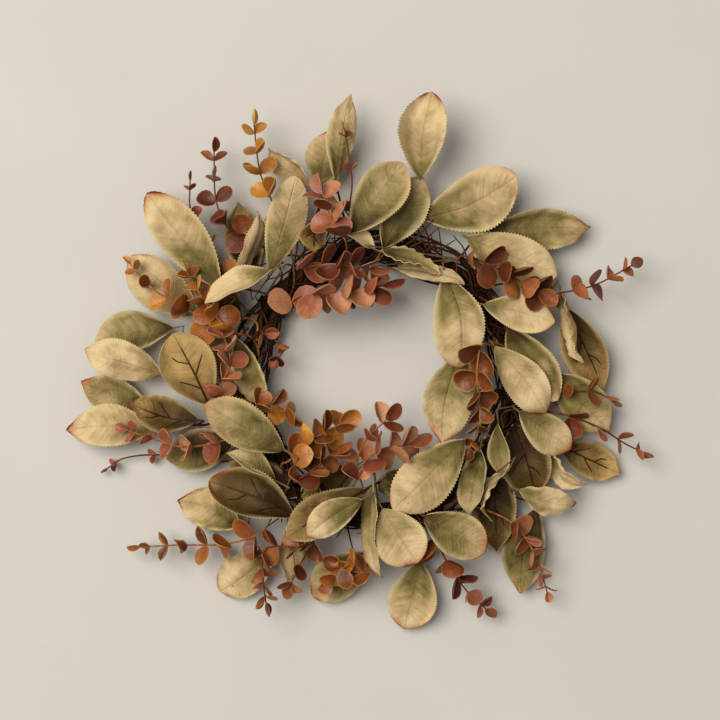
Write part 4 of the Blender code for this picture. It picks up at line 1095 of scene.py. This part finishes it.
def leaflet_material(name, stops):
    """Waxy leaflet cloth that runs through the hues of the stops, from dark to pale."""
    material, tree, surface = new_material(name)
    across, along, shade, *_ = leaf_places(tree)
    place = add(tree, "TexCoord", {}, {}, 3)
    clouds = add(tree, "TexNoise", {2: LEAFLET_CLOUDS, 3: 4}, {0: place})
    # clouds that are both mottling and painted light and shade, then paler away from the root: painted light
    # that shines through the leaflet
    shade = add(tree, "Math", {**TIMES_PLUS, 1: 0.6}, {0: clouds, 2: shade})
    shade = add(tree, "Math", {**TIMES_PLUS, 1: 0.3}, {0: along, 2: shade})
    shade = add(tree, "Math", {**PLUS, 1: -0.45}, {0: shade})
    base = add(tree, "ValToRGB", {"stops": stops}, {0: shade})
    # distance from the middle of the leaflet, for the rim
    far = add(tree, "Math", {**TIMES_PLUS, 1: 2, 2: -1}, {0: along})
    far = add(tree, "Math", TIMES, {0: far, 1: far})
    square = add(tree, "Math", TIMES, {0: across, 1: across})
    far = add(tree, "Math", PLUS, {0: far, 1: square})
    rim = add(tree, "MapRange", {**SMOOTH, 1: 0.72, 2: 1, 4: 0.5}, {0: far})
    lines = vein_lines(tree, across, vein_phase(tree, across, along, LEAFLET_VEINS, LEAFLET_SLANT))
    faint = add(tree, "Math", {**TIMES, 1: 0.14}, {0: lines})
    for code, where in ((stops[-1][1], rim), (stops[0][1], faint)):
        base = add(tree, "Mix", {**BLEND, 7: colour(code)}, {0: where, 6: base}, 2)
    relief = add(tree, "Math", {**TIMES_PLUS, 1: -0.6}, {0: lines, 2: clouds})
    finish_surface(tree, surface, base, relief, roughness=0.42, specular=0.38, strength=0.35, depth=0.0006)
    return material


leaflet_cloth, sprig_wood = {}, {}
for name, (stops, dark, light) in SPRIG_HUES.items():
    leaflet_cloth[name] = leaflet_material("leaflet_" + name, stops)
    sprig_wood[name] = twig_material(
        "sprig_stalk_" + name, dark, light, roughness=0.5, grain_mm=3, depth=0.0002)
print("leaflet materials:", ", ".join(leaflet_cloth))

# %% [markdown]
# ## How each leaf is coloured
#
# One word for its shade, one for its tip, and a third if its underside shows. The shade was matched to how
# bright each leaf looks where it lies, so besides the leaf's own tone it holds painted light and painted
# shade, and several leaves that lie deep in the wreath are dark with painted shade. The order of the words
# is that of the leaves in the sprays.

# %% Shades and tips of the leaves
# the shades hold painted light and painted shade as well as tone: "dark" stands partly for the shade deep in
# the wreath
SHADES = {"pale": 0.12, "khaki": 0.33, "olive": 0.55, "dark": 0.85}
TIPS = {"plain": 0.1, "tan": 0.4, "peach": 0.6, "red": 0.95, "brown": 1}
LEAF_LOOKS = {
    "sage_spray_01": ["pale peach", "khaki tan", "olive tan"],
    "sage_spray_02": ["khaki plain", "khaki red", "olive plain", "pale plain", "pale plain"],
    "sage_spray_03": ["khaki plain", "dark plain", "pale plain", "olive peach under"],
    "sage_spray_04": ["khaki red", "pale peach", "pale plain", "dark plain"],
    "sage_spray_05": ["olive plain", "pale tan", "pale plain under", "olive plain", "dark plain"],
    "sage_spray_06": ["olive brown", "pale red", "olive peach under", "dark tan"],
    "sage_spray_07": ["olive tan", "dark peach under", "khaki brown", "khaki tan", "dark plain under"],
    "sage_spray_08": ["khaki red", "khaki plain", "olive plain under", "khaki peach", "dark plain"],
    "sage_spray_09": ["olive red", "khaki peach", "pale red", "dark plain"],
    "sage_spray_10": ["khaki red", "olive red"],
    "sage_spray_11": ["olive plain", "dark plain under", "dark tan", "pale red", "pale plain"],
    "sage_spray_12": ["khaki tan", "dark plain under", "pale plain"],
    "sage_spray_13": ["olive brown", "khaki tan under", "khaki red", "olive plain"],
    "sage_spray_14": ["pale red", "olive plain", "khaki brown"],
    "sage_spray_15": ["pale red", "pale plain", "olive plain under"],
    "sage_spray_16": ["olive red", "pale plain", "khaki tan", "olive plain", "pale plain"],
}
print(sum(map(len, LEAF_LOOKS.values())), "leaves have a shade and a tip")

# %% [markdown]
# ## One sage leaf, flat
#
# All sage leaves are cut by one die, so one flat leaf is modelled and copied. A grid is the best start,
# because it has rows for the teeth and columns for the bends. It is 2 wide and 1 long: real sizes come with
# the bend. Every second corner of its long edges is drawn in a little, which makes the teeth.

# %% Model the flat leaf
LEAF_COLUMNS, LEAF_ROWS = 14, 60
NOTCH = 0.075  # how far a notch is drawn in, as a share of half the width


def deselect_all():
    """Leaves nothing selected."""
    if bpy.context.object and bpy.context.object.mode != "OBJECT":
        bpy.ops.object.mode_set(mode="OBJECT")
    bpy.ops.object.select_all(action="DESELECT")


def make_active(thing):
    """Selects one object only, and makes it the active one."""
    deselect_all()
    thing.select_set(True)
    bpy.context.view_layer.objects.active = thing


deselect_all()
bpy.ops.mesh.primitive_grid_add(x_subdivisions=LEAF_COLUMNS, y_subdivisions=LEAF_ROWS, size=2)
flat_leaf = bpy.context.object
flat_leaf.name = "flat_leaf"
bpy.ops.object.mode_set(mode="EDIT")
bpy.ops.mesh.select_mode(type="VERT")
bpy.ops.transform.resize(value=(1, 0.5, 1))
bpy.ops.transform.translate(value=(0, 0.5, 0))
bpy.ops.mesh.select_all(action="DESELECT")
bpy.ops.object.mode_set(mode="OBJECT")
for corner in flat_leaf.data.vertices:
    on_long_edge = abs(corner.co.x) > 0.99
    corner.select = on_long_edge and round(corner.co.y * LEAF_ROWS) % 2 == 1
bpy.ops.object.mode_set(mode="EDIT")
bpy.ops.transform.resize(value=(1 - NOTCH, 1, 1), center_override=(0, 0.5, 0))
bpy.ops.object.mode_set(mode="OBJECT")
print("flat leaf:", len(flat_leaf.data.polygons), "faces")

# %% [markdown]
# ## Bending a leaf
#
# A flat copy is bent like the real leaf: folded a little at the midrib, arched from base to tip, wavy at
# the edges, pleated between the side veins and curled at the tip. The formula is that of the slab, with
# finer waves added.

# %% Waves of a leaf
CREASE = 0.8 * MM  # depth of the crease at the midrib
CREASE_WIDTH = 0.15  # of half the width
PLEAT = (0.05, 0.2)  # mm
PLEATS, PLEAT_SLANT = 7, 1.5  # from base to tip, and how far they lean towards the tip
CRUMPLE = (0.9, 2.2)  # mm, of the broad dents of a dry leaf
KINK = (-10, 12)  # mm, twice the depth of a crease across the leaf
KINK_PLACE, KINK_SLANT = (0.35, 0.7), (-0.3, 0.3)  # from base to tip, and how far its ends lie off
KINK_SOFT = 0.001  # how round the crease is
EDGE_RIPPLE = (0.3, 0.9)  # mm
EDGE_RIPPLES = (4, 7)  # from base to tip
EDGE_CURL = (-6, 7)  # mm, up if more than 0, of one of the long edges
CURL_START = 0.5  # of half the width
TIP_CURL = (-8, 3)  # mm, up if more than 0
TIP_START = 0.78  # of the length


def ramp_up(values, start):
    """From 0 at the start to 1 at 1, slowly at first."""
    return np.clip((values - start) / (1 - start), 0, 1) ** 2


def kink(u, v, place, slant):
    """A crease across the leaf, 0 at its base and at its tip."""
    def away(u):
        return np.sqrt((u - place + slant * v) ** 2 + KINK_SOFT)
    return away(u) - (1 - u) * away(0) - u * away(1)


def fine_waves(u, v, rule, under):
    """How far the small waves lift a leaf: creases, pleats, dents, rippled and curled edges, and tip."""
    crease = CREASE * np.exp(-(v / CREASE_WIDTH) ** 2) * np.sin(np.pi * u)
    rise = crease if under else -crease
    lean = PLEATS * u - PLEAT_SLANT * np.abs(v) ** VEIN_BEND
    size = rule.uniform(*PLEAT) * MM
    rise = rise + size * np.sin(2 * np.pi * lean) * np.abs(v) ** 0.7 * np.sin(np.pi * u)
    first, second, third = rule.random(), rule.random(), rule.random()
    size = rule.uniform(*CRUMPLE) * MM
    # the dents are two waves that cross at a slant, each about one wave to the leaf
    dents = np.sin(2 * np.pi * (1.1 * u + 0.5 * v + first))
    dents *= np.sin(2 * np.pi * (0.7 * v - 0.8 * u + second))
    rise += size * dents * np.sin(np.pi * u)
    rise += rule.uniform(*KINK) * MM * kink(u, v, rule.uniform(*KINK_PLACE), rule.uniform(*KINK_SLANT))
    size = rule.uniform(*EDGE_RIPPLE) * MM
    rise += size * np.abs(v) ** 3 * np.sin(2 * np.pi * (rule.uniform(*EDGE_RIPPLES) * u + v + third))
    side = rule.choice((-1, 1))
    rise += rule.uniform(*EDGE_CURL) * MM * ramp_up(v * side, CURL_START) * np.sin(np.pi * u)
    return rise + rule.uniform(*TIP_CURL) * MM * ramp_up(u, TIP_START)


deepest = -kink(0.5, 0, 0.5, 0) * max(KINK)
print(f"a crease across a leaf is up to {deepest:.1f} mm deep")

# %% Bend a copy
TIP_SHARP = {"round": (0, 0.35), "pointed": (0.3, 0.8)}  # how much narrower the tip is
LOPSIDED = 0.1  # how much wider one half is, at most
UNEVEN_CUP = 0.35  # radians, how much more one half bends, at most
FLAT = 1e-6  # radians, the least bend, because the formula divides by it
SWEEP = 0.13  # of the width, how far a leaf bends to the side at most
STALK_TAPER = 8  # how fast the blade widens from its stalk


def places(mesh):
    """The corners of a mesh as an array."""
    flat = np.empty(len(mesh.vertices) * 3)
    mesh.vertices.foreach_get("co", flat)
    return flat.reshape(-1, 3)


def put(mesh, points):
    """Moves the corners of a mesh."""
    mesh.vertices.foreach_set("co", np.asarray(points, dtype=np.float32).ravel())
    mesh.update()


def extent(mesh):
    """The size of a mesh's box, in words."""
    return " x ".join(f"{size / MM:.0f}" for size in np.ptp(places(mesh), axis=0)) + " mm"


def copy_of(template, name):
    """A copy of an object with its own mesh."""
    made = bpy.data.objects.new(name, template.data.copy())
    bpy.context.scene.collection.objects.link(made)
    return made


def give_looks(mesh, looks):
    """Writes shade, blush and a number of its own to every corner."""
    attribute = mesh.attributes.new("looks", "FLOAT_VECTOR", "POINT")
    attribute.data.foreach_set("vector", np.tile(looks, len(mesh.vertices)))


def half_width(blade, u, v, rule):
    """Half the width of the blade at each corner, a little different on its two sides."""
    widest, blunt = BLADE_SPREAD[blade.shape]
    half = blade.width * MM / 2 * np.sin(np.pi * np.clip(u, 0, 1) ** widest).clip(0) ** blunt
    half = half * (1 + rule.uniform(-LOPSIDED, LOPSIDED) * np.sign(v))
    half = half * (1 - rule.uniform(*TIP_SHARP[blade.shape]) * ramp_up(u, TIP_START))
    return np.maximum(half, PETIOLE_HALF_WIDTH * (1 - u) ** STALK_TAPER)


def bent_leaf(name, blade, lie, looks, under, share):
    """One sage leaf, bent as it lies, with a share of its small waves."""
    rule = random.Random("curl " + name)
    made = copy_of(flat_leaf, name)
    v, u, _ = places(made.data).T
    half = half_width(blade, u, v, rule)
    curl = blade.cup + np.where(v * blade.fold > 0, abs(blade.fold), 0)
    bend = curl * v + rule.uniform(-UNEVEN_CUP, UNEVEN_CUP) * v * np.abs(v)
    bend = np.where(np.abs(bend) < FLAT, FLAT, bend)
    side = half * v * np.sin(bend) / bend
    side += share * rule.uniform(-SWEEP, SWEEP) * blade.width * MM * np.sin(np.pi * u)
    rise = half * v * (1 - np.cos(bend)) / bend
    rise += blade.arch * MM * 4 * u * (1 - u)
    height, waves, shift = lie.wave
    rise += height * v * v * np.sin(np.pi * (waves * u + shift + 0.5 * v))
    rise += share * fine_waves(u, v, rule, under)
    angle = math.radians(blade.roll) + lie.twist * (u - 0.5)
    start, end, across, out = (np.array(x) for x in (lie.start, lie.end, lie.across, lie.out))
    cos, sin = np.cos(angle)[:, None], np.sin(angle)[:, None]
    turned_across = across * cos - out * sin
    turned_out = out * cos + across * sin
    points = start + (end - start) * u[:, None] + turned_across * side[:, None] + turned_out * rise[:, None]
    put(made.data, points)
    give_looks(made.data, (*looks, rule.random()))
    if under:
        made.data.flip_normals()
    return made


trial = bent_leaf("trial", first_blade, leaves["sage_spray_01", 0][0], (0, 0), False, 1)
print("the first leaf is", extent(trial.data))
bpy.data.meshes.remove(trial.data)

# %% [markdown]
# ## Stalks
#
# A stalk is a thin round rod that gets thinner towards its end. A circle could be extruded and scaled, but
# a curve takes a radius at each of its points, so all the stalks of a spray are made at once.

# %% Make stalks
def new_curve(name, roundness):
    """An empty curve with a round section. Its roundness is the number of corners added to a quarter."""
    curve = bpy.data.curves.new(name, "CURVE")
    curve.dimensions = "3D"
    curve.bevel_depth = 1
    curve.bevel_resolution = roundness
    curve.use_fill_caps = True
    return curve


def add_run(curve, points, radii, closed=False):
    """Adds a run of points to a curve, each with its own radius."""
    spline = curve.splines.new("POLY")
    spline.use_cyclic_u = closed
    spline.points.add(len(points) - 1)
    for corner, point, radius in zip(spline.points, points, radii):
        corner.co = (*point, 1)
        corner.radius = radius


def curve_to_mesh(curve, material):
    """Turns a curve into an object with a mesh."""
    made = bpy.data.objects.new(curve.name, curve)
    bpy.context.scene.collection.objects.link(made)
    make_active(made)
    bpy.ops.object.convert(target="MESH")
    made = bpy.context.object
    made.data.materials.append(material)
    return made


def stalks(name, paths, material, roundness=1):
    """Round stalks along paths, each with a radius at its start and at its end, as one mesh."""
    curve = new_curve(name, roundness)
    for path, thick, thin in paths:
        add_run(curve, path, [thick + (thin - thick) * i / (len(path) - 1) for i in range(len(path))])
    return curve_to_mesh(curve, material)


trial = stalks("trial", [([Vector(), UP * MM], MM, MM)], sage_stalk)
print("a plain straight stalk has", len(trial.data.polygons), "faces")
bpy.data.meshes.remove(trial.data)

# %% [markdown]
# ## Pieces
#
# The leaves of one stem are joined, get their thickness all at once, and are joined with their stalks. The
# piece then takes the place of its solid.

# %% Join, thicken and finish
CLOTH = 0.45 * MM  # thickness of leaves and leaflets
SHARPEST = math.radians(50)  # what bends more than this stays an edge


def join_all(objects, name):
    """Joins objects into the first."""
    make_active(objects[0])
    for each in objects:
        each.select_set(True)
    bpy.ops.object.join()
    joined = bpy.context.object
    joined.name = joined.data.name = name
    return joined


def make_cloth(sheets, name, materials):
    """Joins flat sheets and gives them their wall, half to each side, with the second material behind."""
    cloth = join_all(sheets, name)
    cloth.data.materials.clear()
    for material in materials:
        cloth.data.materials.append(material)
    shell = cloth.modifiers.new("wall", "SOLIDIFY")
    shell.thickness = CLOTH
    shell.offset = 0
    shell.use_even_offset = False
    shell.material_offset = 1
    make_active(cloth)
    bpy.ops.object.modifier_apply(modifier=shell.name)
    return cloth


def finish_piece(piece, node):
    """Shades a piece smooth, lets it ride on the wreath, and lets it stand for its solid."""
    make_active(piece)
    bpy.ops.object.shade_smooth_by_angle(angle=SHARPEST)
    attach(piece, "root")
    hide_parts(node)


print(f"cloth is {CLOTH / MM:.2f} mm thick")

# %% [markdown]
# ## One leaflet, and the sprigs
#
# The round leaflets are cut by one die too: a disc with an inset ring, so that it can be cupped. A ball
# pressed flat would be smoother, but there are hundreds of leaflets, and 28 faces are enough for each.

# %% Model the flat leaflet
LEAFLET_CORNERS = 14
INNER_RING = 0.42  # how far it lies inside the rim, of the radius
deselect_all()
bpy.ops.mesh.primitive_circle_add(vertices=LEAFLET_CORNERS, radius=1, fill_type="NGON", calc_uvs=True)
flat_leaflet = bpy.context.object
flat_leaflet.name = "flat_leaflet"
bpy.ops.object.mode_set(mode="EDIT")
bpy.ops.mesh.inset(thickness=INNER_RING, use_even_offset=True)
bpy.ops.mesh.poke()
bpy.ops.object.mode_set(mode="OBJECT")
print("flat leaflet:", len(flat_leaflet.data.polygons), "faces")

# %% Cup a copy
LEAFLET_LENGTH = 0.97  # of its size
SLIM = ((0.74, 1.04), (0.6, 0.95))  # share of the full width, of large leaflets and of small ones
ROOT_NARROW = 0.28  # how much narrower a leaflet is at its root
WIDENING = 2.2  # how fast it gets its full width
LEAFLET_POINT = (0, 0.4)  # how much narrower than a round one the end of a small leaflet is
LEAFLET_CUP = ((0.35, 1.1), (-0.9, -0.2))  # hollow or bulging, as the depth of the rim
BULGING = 0.35  # share of the leaflets that bulge
LEAFLET_FOLD = (0, 0.4)
LEAFLET_CURL = (-0.35, 0.55)


def cupped_leaflet(name, root, along, out, size, looks):
    """One leaflet at its root."""
    across = along.cross(out).normalized()
    out = across.cross(along)
    rule = random.Random("cup " + name)
    made = copy_of(flat_leaflet, name)
    x, y, _ = places(made.data).T
    u = (y + 1) / 2
    small = size < SMALL_LEAFLET
    narrow = (1 - ROOT_NARROW + ROOT_NARROW * np.clip(u * WIDENING, 0, 1)) * rule.uniform(*SLIM[small])
    if small:
        narrow *= 1 - rule.uniform(*LEAFLET_POINT) * u ** 3
    wide = x * size * 0.5 * narrow
    cup = rule.uniform(*LEAFLET_CUP[rule.random() < BULGING])
    fold, curl = rule.uniform(*LEAFLET_FOLD), rule.uniform(*LEAFLET_CURL)
    bowl = x ** 2 + 0.5 * (2 * u - 1) ** 2
    rise = size * (0.25 * cup * bowl + 0.5 * fold * np.abs(x) + 0.3 * curl * u ** 2)
    rise -= rise[np.argmin(u)]
    a, b, c, d = (np.array(vector) for vector in (root, along, across, out))
    points = a + b * (u * size * LEAFLET_LENGTH)[:, None] + c * wide[:, None] + d * rise[:, None]
    put(made.data, points)
    give_looks(made.data, (*looks, rule.random()))
    return made


trial = cupped_leaflet("trial", Vector(), Vector((1, 0, 0)), UP, 15 * MM, (0, 0))
print("a leaflet is", extent(trial.data))
bpy.data.meshes.remove(trial.data)

# %% Make the sprigs
SPRIG_STEPS, SPRIG_TAPER = 8, 0.6  # from one point of the way to the next, and how thin the stem ends
ALL_SHADES = (0, 0.95)
SHADES_OF_SPRIG = {"rust_sprig_13": (-0.3, 0.35), "rust_sprig_22": (-0.1, 0.6)}  # redder than their colour
taken = []  # search trees of what the sage leaves must not touch


def skin(mesh):
    """A search tree of the faces of a mesh."""
    return BVHTree.FromPolygons([c.co for c in mesh.vertices], [tuple(f.vertices) for f in mesh.polygons])


for sprig in SPRIGS:
    sheets = []
    for number, (root, along, out, size) in enumerate(leaflets[sprig.name]):
        rule = random.Random(f"looks {sprig.name} {number}")
        looks = (rule.uniform(*SHADES_OF_SPRIG.get(sprig.name, ALL_SHADES)), 0)
        sheets.append(cupped_leaflet(f"{sprig.name}_{number}", root, along, out, size, looks))
    cloth = make_cloth(sheets, sprig.name + "_cloth", [leaflet_cloth[sprig.colour]])
    stem = (smooth_path(ways[sprig.name], SPRIG_STEPS), SPRIG_STEM_RADIUS, SPRIG_STEM_RADIUS * SPRIG_TAPER)
    wood = stalks(sprig.name + "_stalk", [stem], sprig_wood[sprig.colour], roundness=2)
    piece = join_all([cloth, wood], "rust_leaflets_" + sprig.name[-2:])
    finish_piece(piece, sprig.name)
    taken.append(skin(piece.data))
print(len(SPRIGS), "sprigs")

# %% [markdown]
# ## Sprays
#
# Each spray is a short stem with its leaves and some bare twigs. A wire runs along the underside of each
# leaf as its midrib. Where the underside shows, the wire is dark and thick and has three side twigs. The
# small waves of a leaf are calmed until it touches no leaflet and no other leaf.

# %% Make the sprays
SPRAY_STEPS, STEM_TAPER = 6, 0.7
TWIG_STEPS, TWIG_TAPER = 4, 0.5
WIRE_RADIUS = (0.65 * MM, 0.8 * MM)  # where the front shows, and where the underside does
SIDE_TWIG_RADIUS = 0.5 * MM
WIRE_END = 0.3 * MM
RIB_END = 0.85  # of the leaf's length
RIB_STEP = 3  # rows
SIDE_TWIGS = ((0.22, 0.2, -4), (0.4, 0.2, 4), (0.58, 0.16, -3))  # start, reach, and column of the end
HALF_COLUMNS = LEAF_COLUMNS // 2
CALMER = (1, 0.75, 0.5, 0.25, 0)  # shares of the small waves


def off_leaf(grid, row, column, lift):
    """A point over a corner of a bent leaf, lifted towards the leaf's front."""
    row = min(row, LEAF_ROWS - 1)
    column = min(column, LEAF_COLUMNS - 1)
    up_leaf = grid[row + 1, column] - grid[row, column]
    over_leaf = grid[row, column + 1] - grid[row, column]
    front = np.cross(over_leaf, up_leaf)
    return Vector(grid[row, column] + front / np.linalg.norm(front) * lift)


def rib_paths(grid, petiole, under):
    """The paths of a leaf's stalk and midrib, and of the side twigs where its underside shows."""
    lift = CLOTH if under else -CLOTH
    rows = range(0, int(LEAF_ROWS * RIB_END), RIB_STEP)
    rib = [off_leaf(grid, row, HALF_COLUMNS, lift) for row in rows]
    paths = [([*petiole, *rib], WIRE_RADIUS[under], WIRE_END)]
    for start, reach, column in SIDE_TWIGS if under else ():
        first, last = int(LEAF_ROWS * start), int(LEAF_ROWS * (start + reach))
        steps = [(first + (last - first) * k // 2, HALF_COLUMNS + column * k // 2) for k in range(3)]
        paths.append(([off_leaf(grid, *step, lift) for step in steps], SIDE_TWIG_RADIUS, WIRE_END))
    return paths


def calm_leaf(*how):
    """A bent leaf with as much of its waves as there is room for, and that share."""
    for share in CALMER:
        made = bent_leaf(*how, share)
        own = skin(made.data)
        if not share or not any(own.overlap(other) for other in taken):
            taken.append(own)
            return made, share
        bpy.data.meshes.remove(made.data)


calmed = 0
for spray in SPRAYS:
    sheets, green = [], []
    stem = smooth_path(ways[spray.name], SPRAY_STEPS)
    dark = [(stem, SPRAY_STEM_RADIUS, SPRAY_STEM_RADIUS * STEM_TAPER)]
    for path in fine_twigs[spray.name]:
        dark.append((smooth_path(path, TWIG_STEPS), TWIG_RADIUS, TWIG_RADIUS * TWIG_TAPER))
    for number, (blade, words) in enumerate(zip(spray.leaves, LEAF_LOOKS[spray.name])):
        lie, petiole = leaves[spray.name, number]
        shade, tip, *side = words.split()
        under = bool(side)
        looks = (SHADES[shade], TIPS[tip])
        sheet, share = calm_leaf(f"{spray.name}_{number}", blade, lie, looks, under)
        calmed += share < 1
        sheets.append(sheet)
        grid = places(sheet.data).reshape(LEAF_ROWS + 1, LEAF_COLUMNS + 1, 3)
        (dark if under else green).extend(rib_paths(grid, petiole, under))
    cloth = make_cloth(sheets, spray.name + "_cloth", [sage_face, sage_under, leaf_stalk])
    woods = [stalks(spray.name + "_dark", dark, sage_stalk)]
    if green:
        woods.append(stalks(spray.name + "_green", green, leaf_stalk))
    finish_piece(join_all([cloth, *woods], "sage_leaves_" + spray.name[-2:]), spray.name)
for template in (flat_leaf, flat_leaflet):
    bpy.data.objects.remove(template)
print(len(SPRAYS), "sprays,", calmed, "leaves calmed")

# %% [markdown]
# ## Vines and bands
#
# The ring is made of three vines. Each is a closed curve with a round section and small knots, which follows
# the same twist as its solid. Thin tendrils wander along each of them over the top of the ring. The bands
# are five strands of tape, wound side by side.

# %% Make the vines
VINE_POINTS = 288
VINE_SLIM = 0.92  # of its radius, where it has no knots
KNOTS = 6  # waves of thickness that add up to knots
KNOT_HEIGHT, KNOT_COUNT = (0.012, 0.036), (5, 40)  # of the radius, and how many round the ring
TENDRILS = 3  # per vine
TENDRIL_RADIUS = (0.5, 0.9)  # mm
TENDRIL_LEAN = 1.35  # radians, how far they wander to the sides of the ring
TENDRIL_AWAY, TENDRIL_WANDER = 3.6, 2.8  # mm from the vines, and how much that changes
TENDRIL_SWAYS, TENDRIL_RISES = (2, 5), (3, 8)  # how often round the ring
turns = [2 * math.pi * i / VINE_POINTS for i in range(VINE_POINTS)]
for vine in range(VINES):
    curve = new_curve(f"twisted_vine_{vine + 1}", roundness=3)
    rule = random.Random(f"vine {vine}")
    lumps = [(rule.uniform(*KNOT_HEIGHT), rule.randint(*KNOT_COUNT), rule.random()) for _ in range(KNOTS)]
    points, radii = [], []
    for turn in turns:
        swell = sum(height * math.sin(count * turn + 2 * math.pi * shift) for height, count, shift in lumps)
        points.append(on_bundle(turn, crest(vine, turn), VINE_OFFSET))
        radii.append(VINE_RADIUS * (VINE_SLIM + swell))
    add_run(curve, points, radii, closed=True)
    for _ in range(TENDRILS):
        sways, rises = rule.randint(*TENDRIL_SWAYS), rule.randint(*TENDRIL_RISES)
        sway_shift, rise_shift, thick = rule.random(), rule.random(), rule.uniform(*TENDRIL_RADIUS) * MM
        points = []
        for turn in turns[::2]:
            lean = math.pi / 2 + TENDRIL_LEAN * math.sin(sways * turn + 2 * math.pi * sway_shift)
            away = math.sin(rises * turn + 2 * math.pi * rise_shift)
            reach = BUNDLE_RADIUS + (TENDRIL_AWAY + TENDRIL_WANDER * away) * MM
            points.append(on_bundle(turn, lean, reach))
        add_run(curve, points, [thick] * len(points), closed=True)
    finish_piece(curve_to_mesh(curve, vine_wood), f"vine_{vine + 1}")
print(VINES, "vines")

# %% Make the bands
STRANDS = 5
STRAND_RADIUS = TIE_WIDTH / STRANDS / 2
STRAND_CORNERS = 40
angles = [2 * math.pi * k / STRAND_CORNERS for k in range(STRAND_CORNERS)]
for number, degrees in enumerate(TIE_ANGLES, 1):
    middle, outward, along = band_place(degrees)
    curve = new_curve(f"wound_band_{number}", roundness=2)
    for strand in range(STRANDS):
        shift = along * TIE_WIDTH * ((strand + 0.5) / STRANDS - 0.5)
        points = []
        for angle in angles:
            height = max(TIE_REACH * math.sin(angle), STRAND_RADIUS - RING_HEIGHT)
            points.append(middle + outward * TIE_REACH * math.cos(angle) + UP * height + shift)
        add_run(curve, points, [STRAND_RADIUS] * STRAND_CORNERS, closed=True)
    finish_piece(curve_to_mesh(curve, wound_tape), f"tie_{number}")
print(len(TIE_ANGLES), "bands")

# %% [markdown]
# ## Table, light and camera
#
# The wreath lies on a plain pale surface under soft daylight from the left, and the camera looks straight
# down. A large lamp stands for the window, because a small one would draw hard shadows.

# %% The table
TABLE_SIZE = 40
TABLE_DROP = 0.0002  # below the wreath's feet, so that the two don't flicker
PLASTER_STAINS, TROWEL_MARKS = 1000 / 90, 1000 / 9  # per metre: 90 mm and 9 mm wide
deselect_all()
bpy.ops.mesh.primitive_plane_add(size=TABLE_SIZE, location=(0, 0, -TABLE_DROP))
table = bpy.context.object
table.name = "pale_table"
# matte plaster, almost even, so that the eye stays on the wreath
plaster, tree, surface = new_material("pale_plaster")
place = add(tree, "TexCoord", {}, {}, 3)
stains = add(tree, "TexNoise", {2: PLASTER_STAINS, 3: 3}, {0: place})
trowel = add(tree, "TexNoise", {2: TROWEL_MARKS, 3: 4}, {0: place})
base = add(tree, "ValToRGB", {"stops": [(0.2, "#cdc8be"), (0.8, "#d2cdc3")]}, {0: stains})
finish_surface(tree, surface, base, trowel, roughness=0.85, specular=0.5, strength=0.25, depth=0.0006)
table.data.materials.append(plaster)
print("table:", table.name, "of", plaster.name)

# %% Light
WINDOW_PLACE = (-1.5, 0.75, 3.3)
WINDOW_SIZE, WINDOW_POWER = 2.5, 143
SKY_STRENGTH = 0.275
scene = bpy.context.scene
scene.view_settings.view_transform = "Standard"
world = scene.world or bpy.data.worlds.new("world")
scene.world = world
world.use_nodes = True
background = next(n for n in world.node_tree.nodes if n.type == "BACKGROUND")
background.inputs[0].default_value = colour("#f4f3f4")
background.inputs[1].default_value = SKY_STRENGTH
lamp = bpy.data.lights.new("window_left", "AREA")
lamp.size = WINDOW_SIZE
lamp.energy = WINDOW_POWER
lamp.color = colour("#fffdf9")[:3]
window = bpy.data.objects.new("window_left", lamp)
window.location = WINDOW_PLACE
window.rotation_euler = (-Vector(WINDOW_PLACE)).to_track_quat("-Z", "Y").to_euler()
scene.collection.objects.link(window)
print("light: a window on the left and a pale sky")

# %% Camera
LENS, SENSOR = 100, 36  # mm
deselect_all()
camera = bpy.data.cameras.new("camera")
camera.lens = LENS
camera.sensor_width = SENSOR
eye = bpy.data.objects.new("camera", camera)
middle_of_plan = spot(*PLAN_MIDDLE, 0)
eye.location = (middle_of_plan.x, middle_of_plan.y, PLAN_EYE)
scene.collection.objects.link(eye)
scene.camera = eye
print("camera at", tuple(round(c, 4) for c in eye.location))

# %% Bring the scene up to date
bpy.context.view_layer.update()
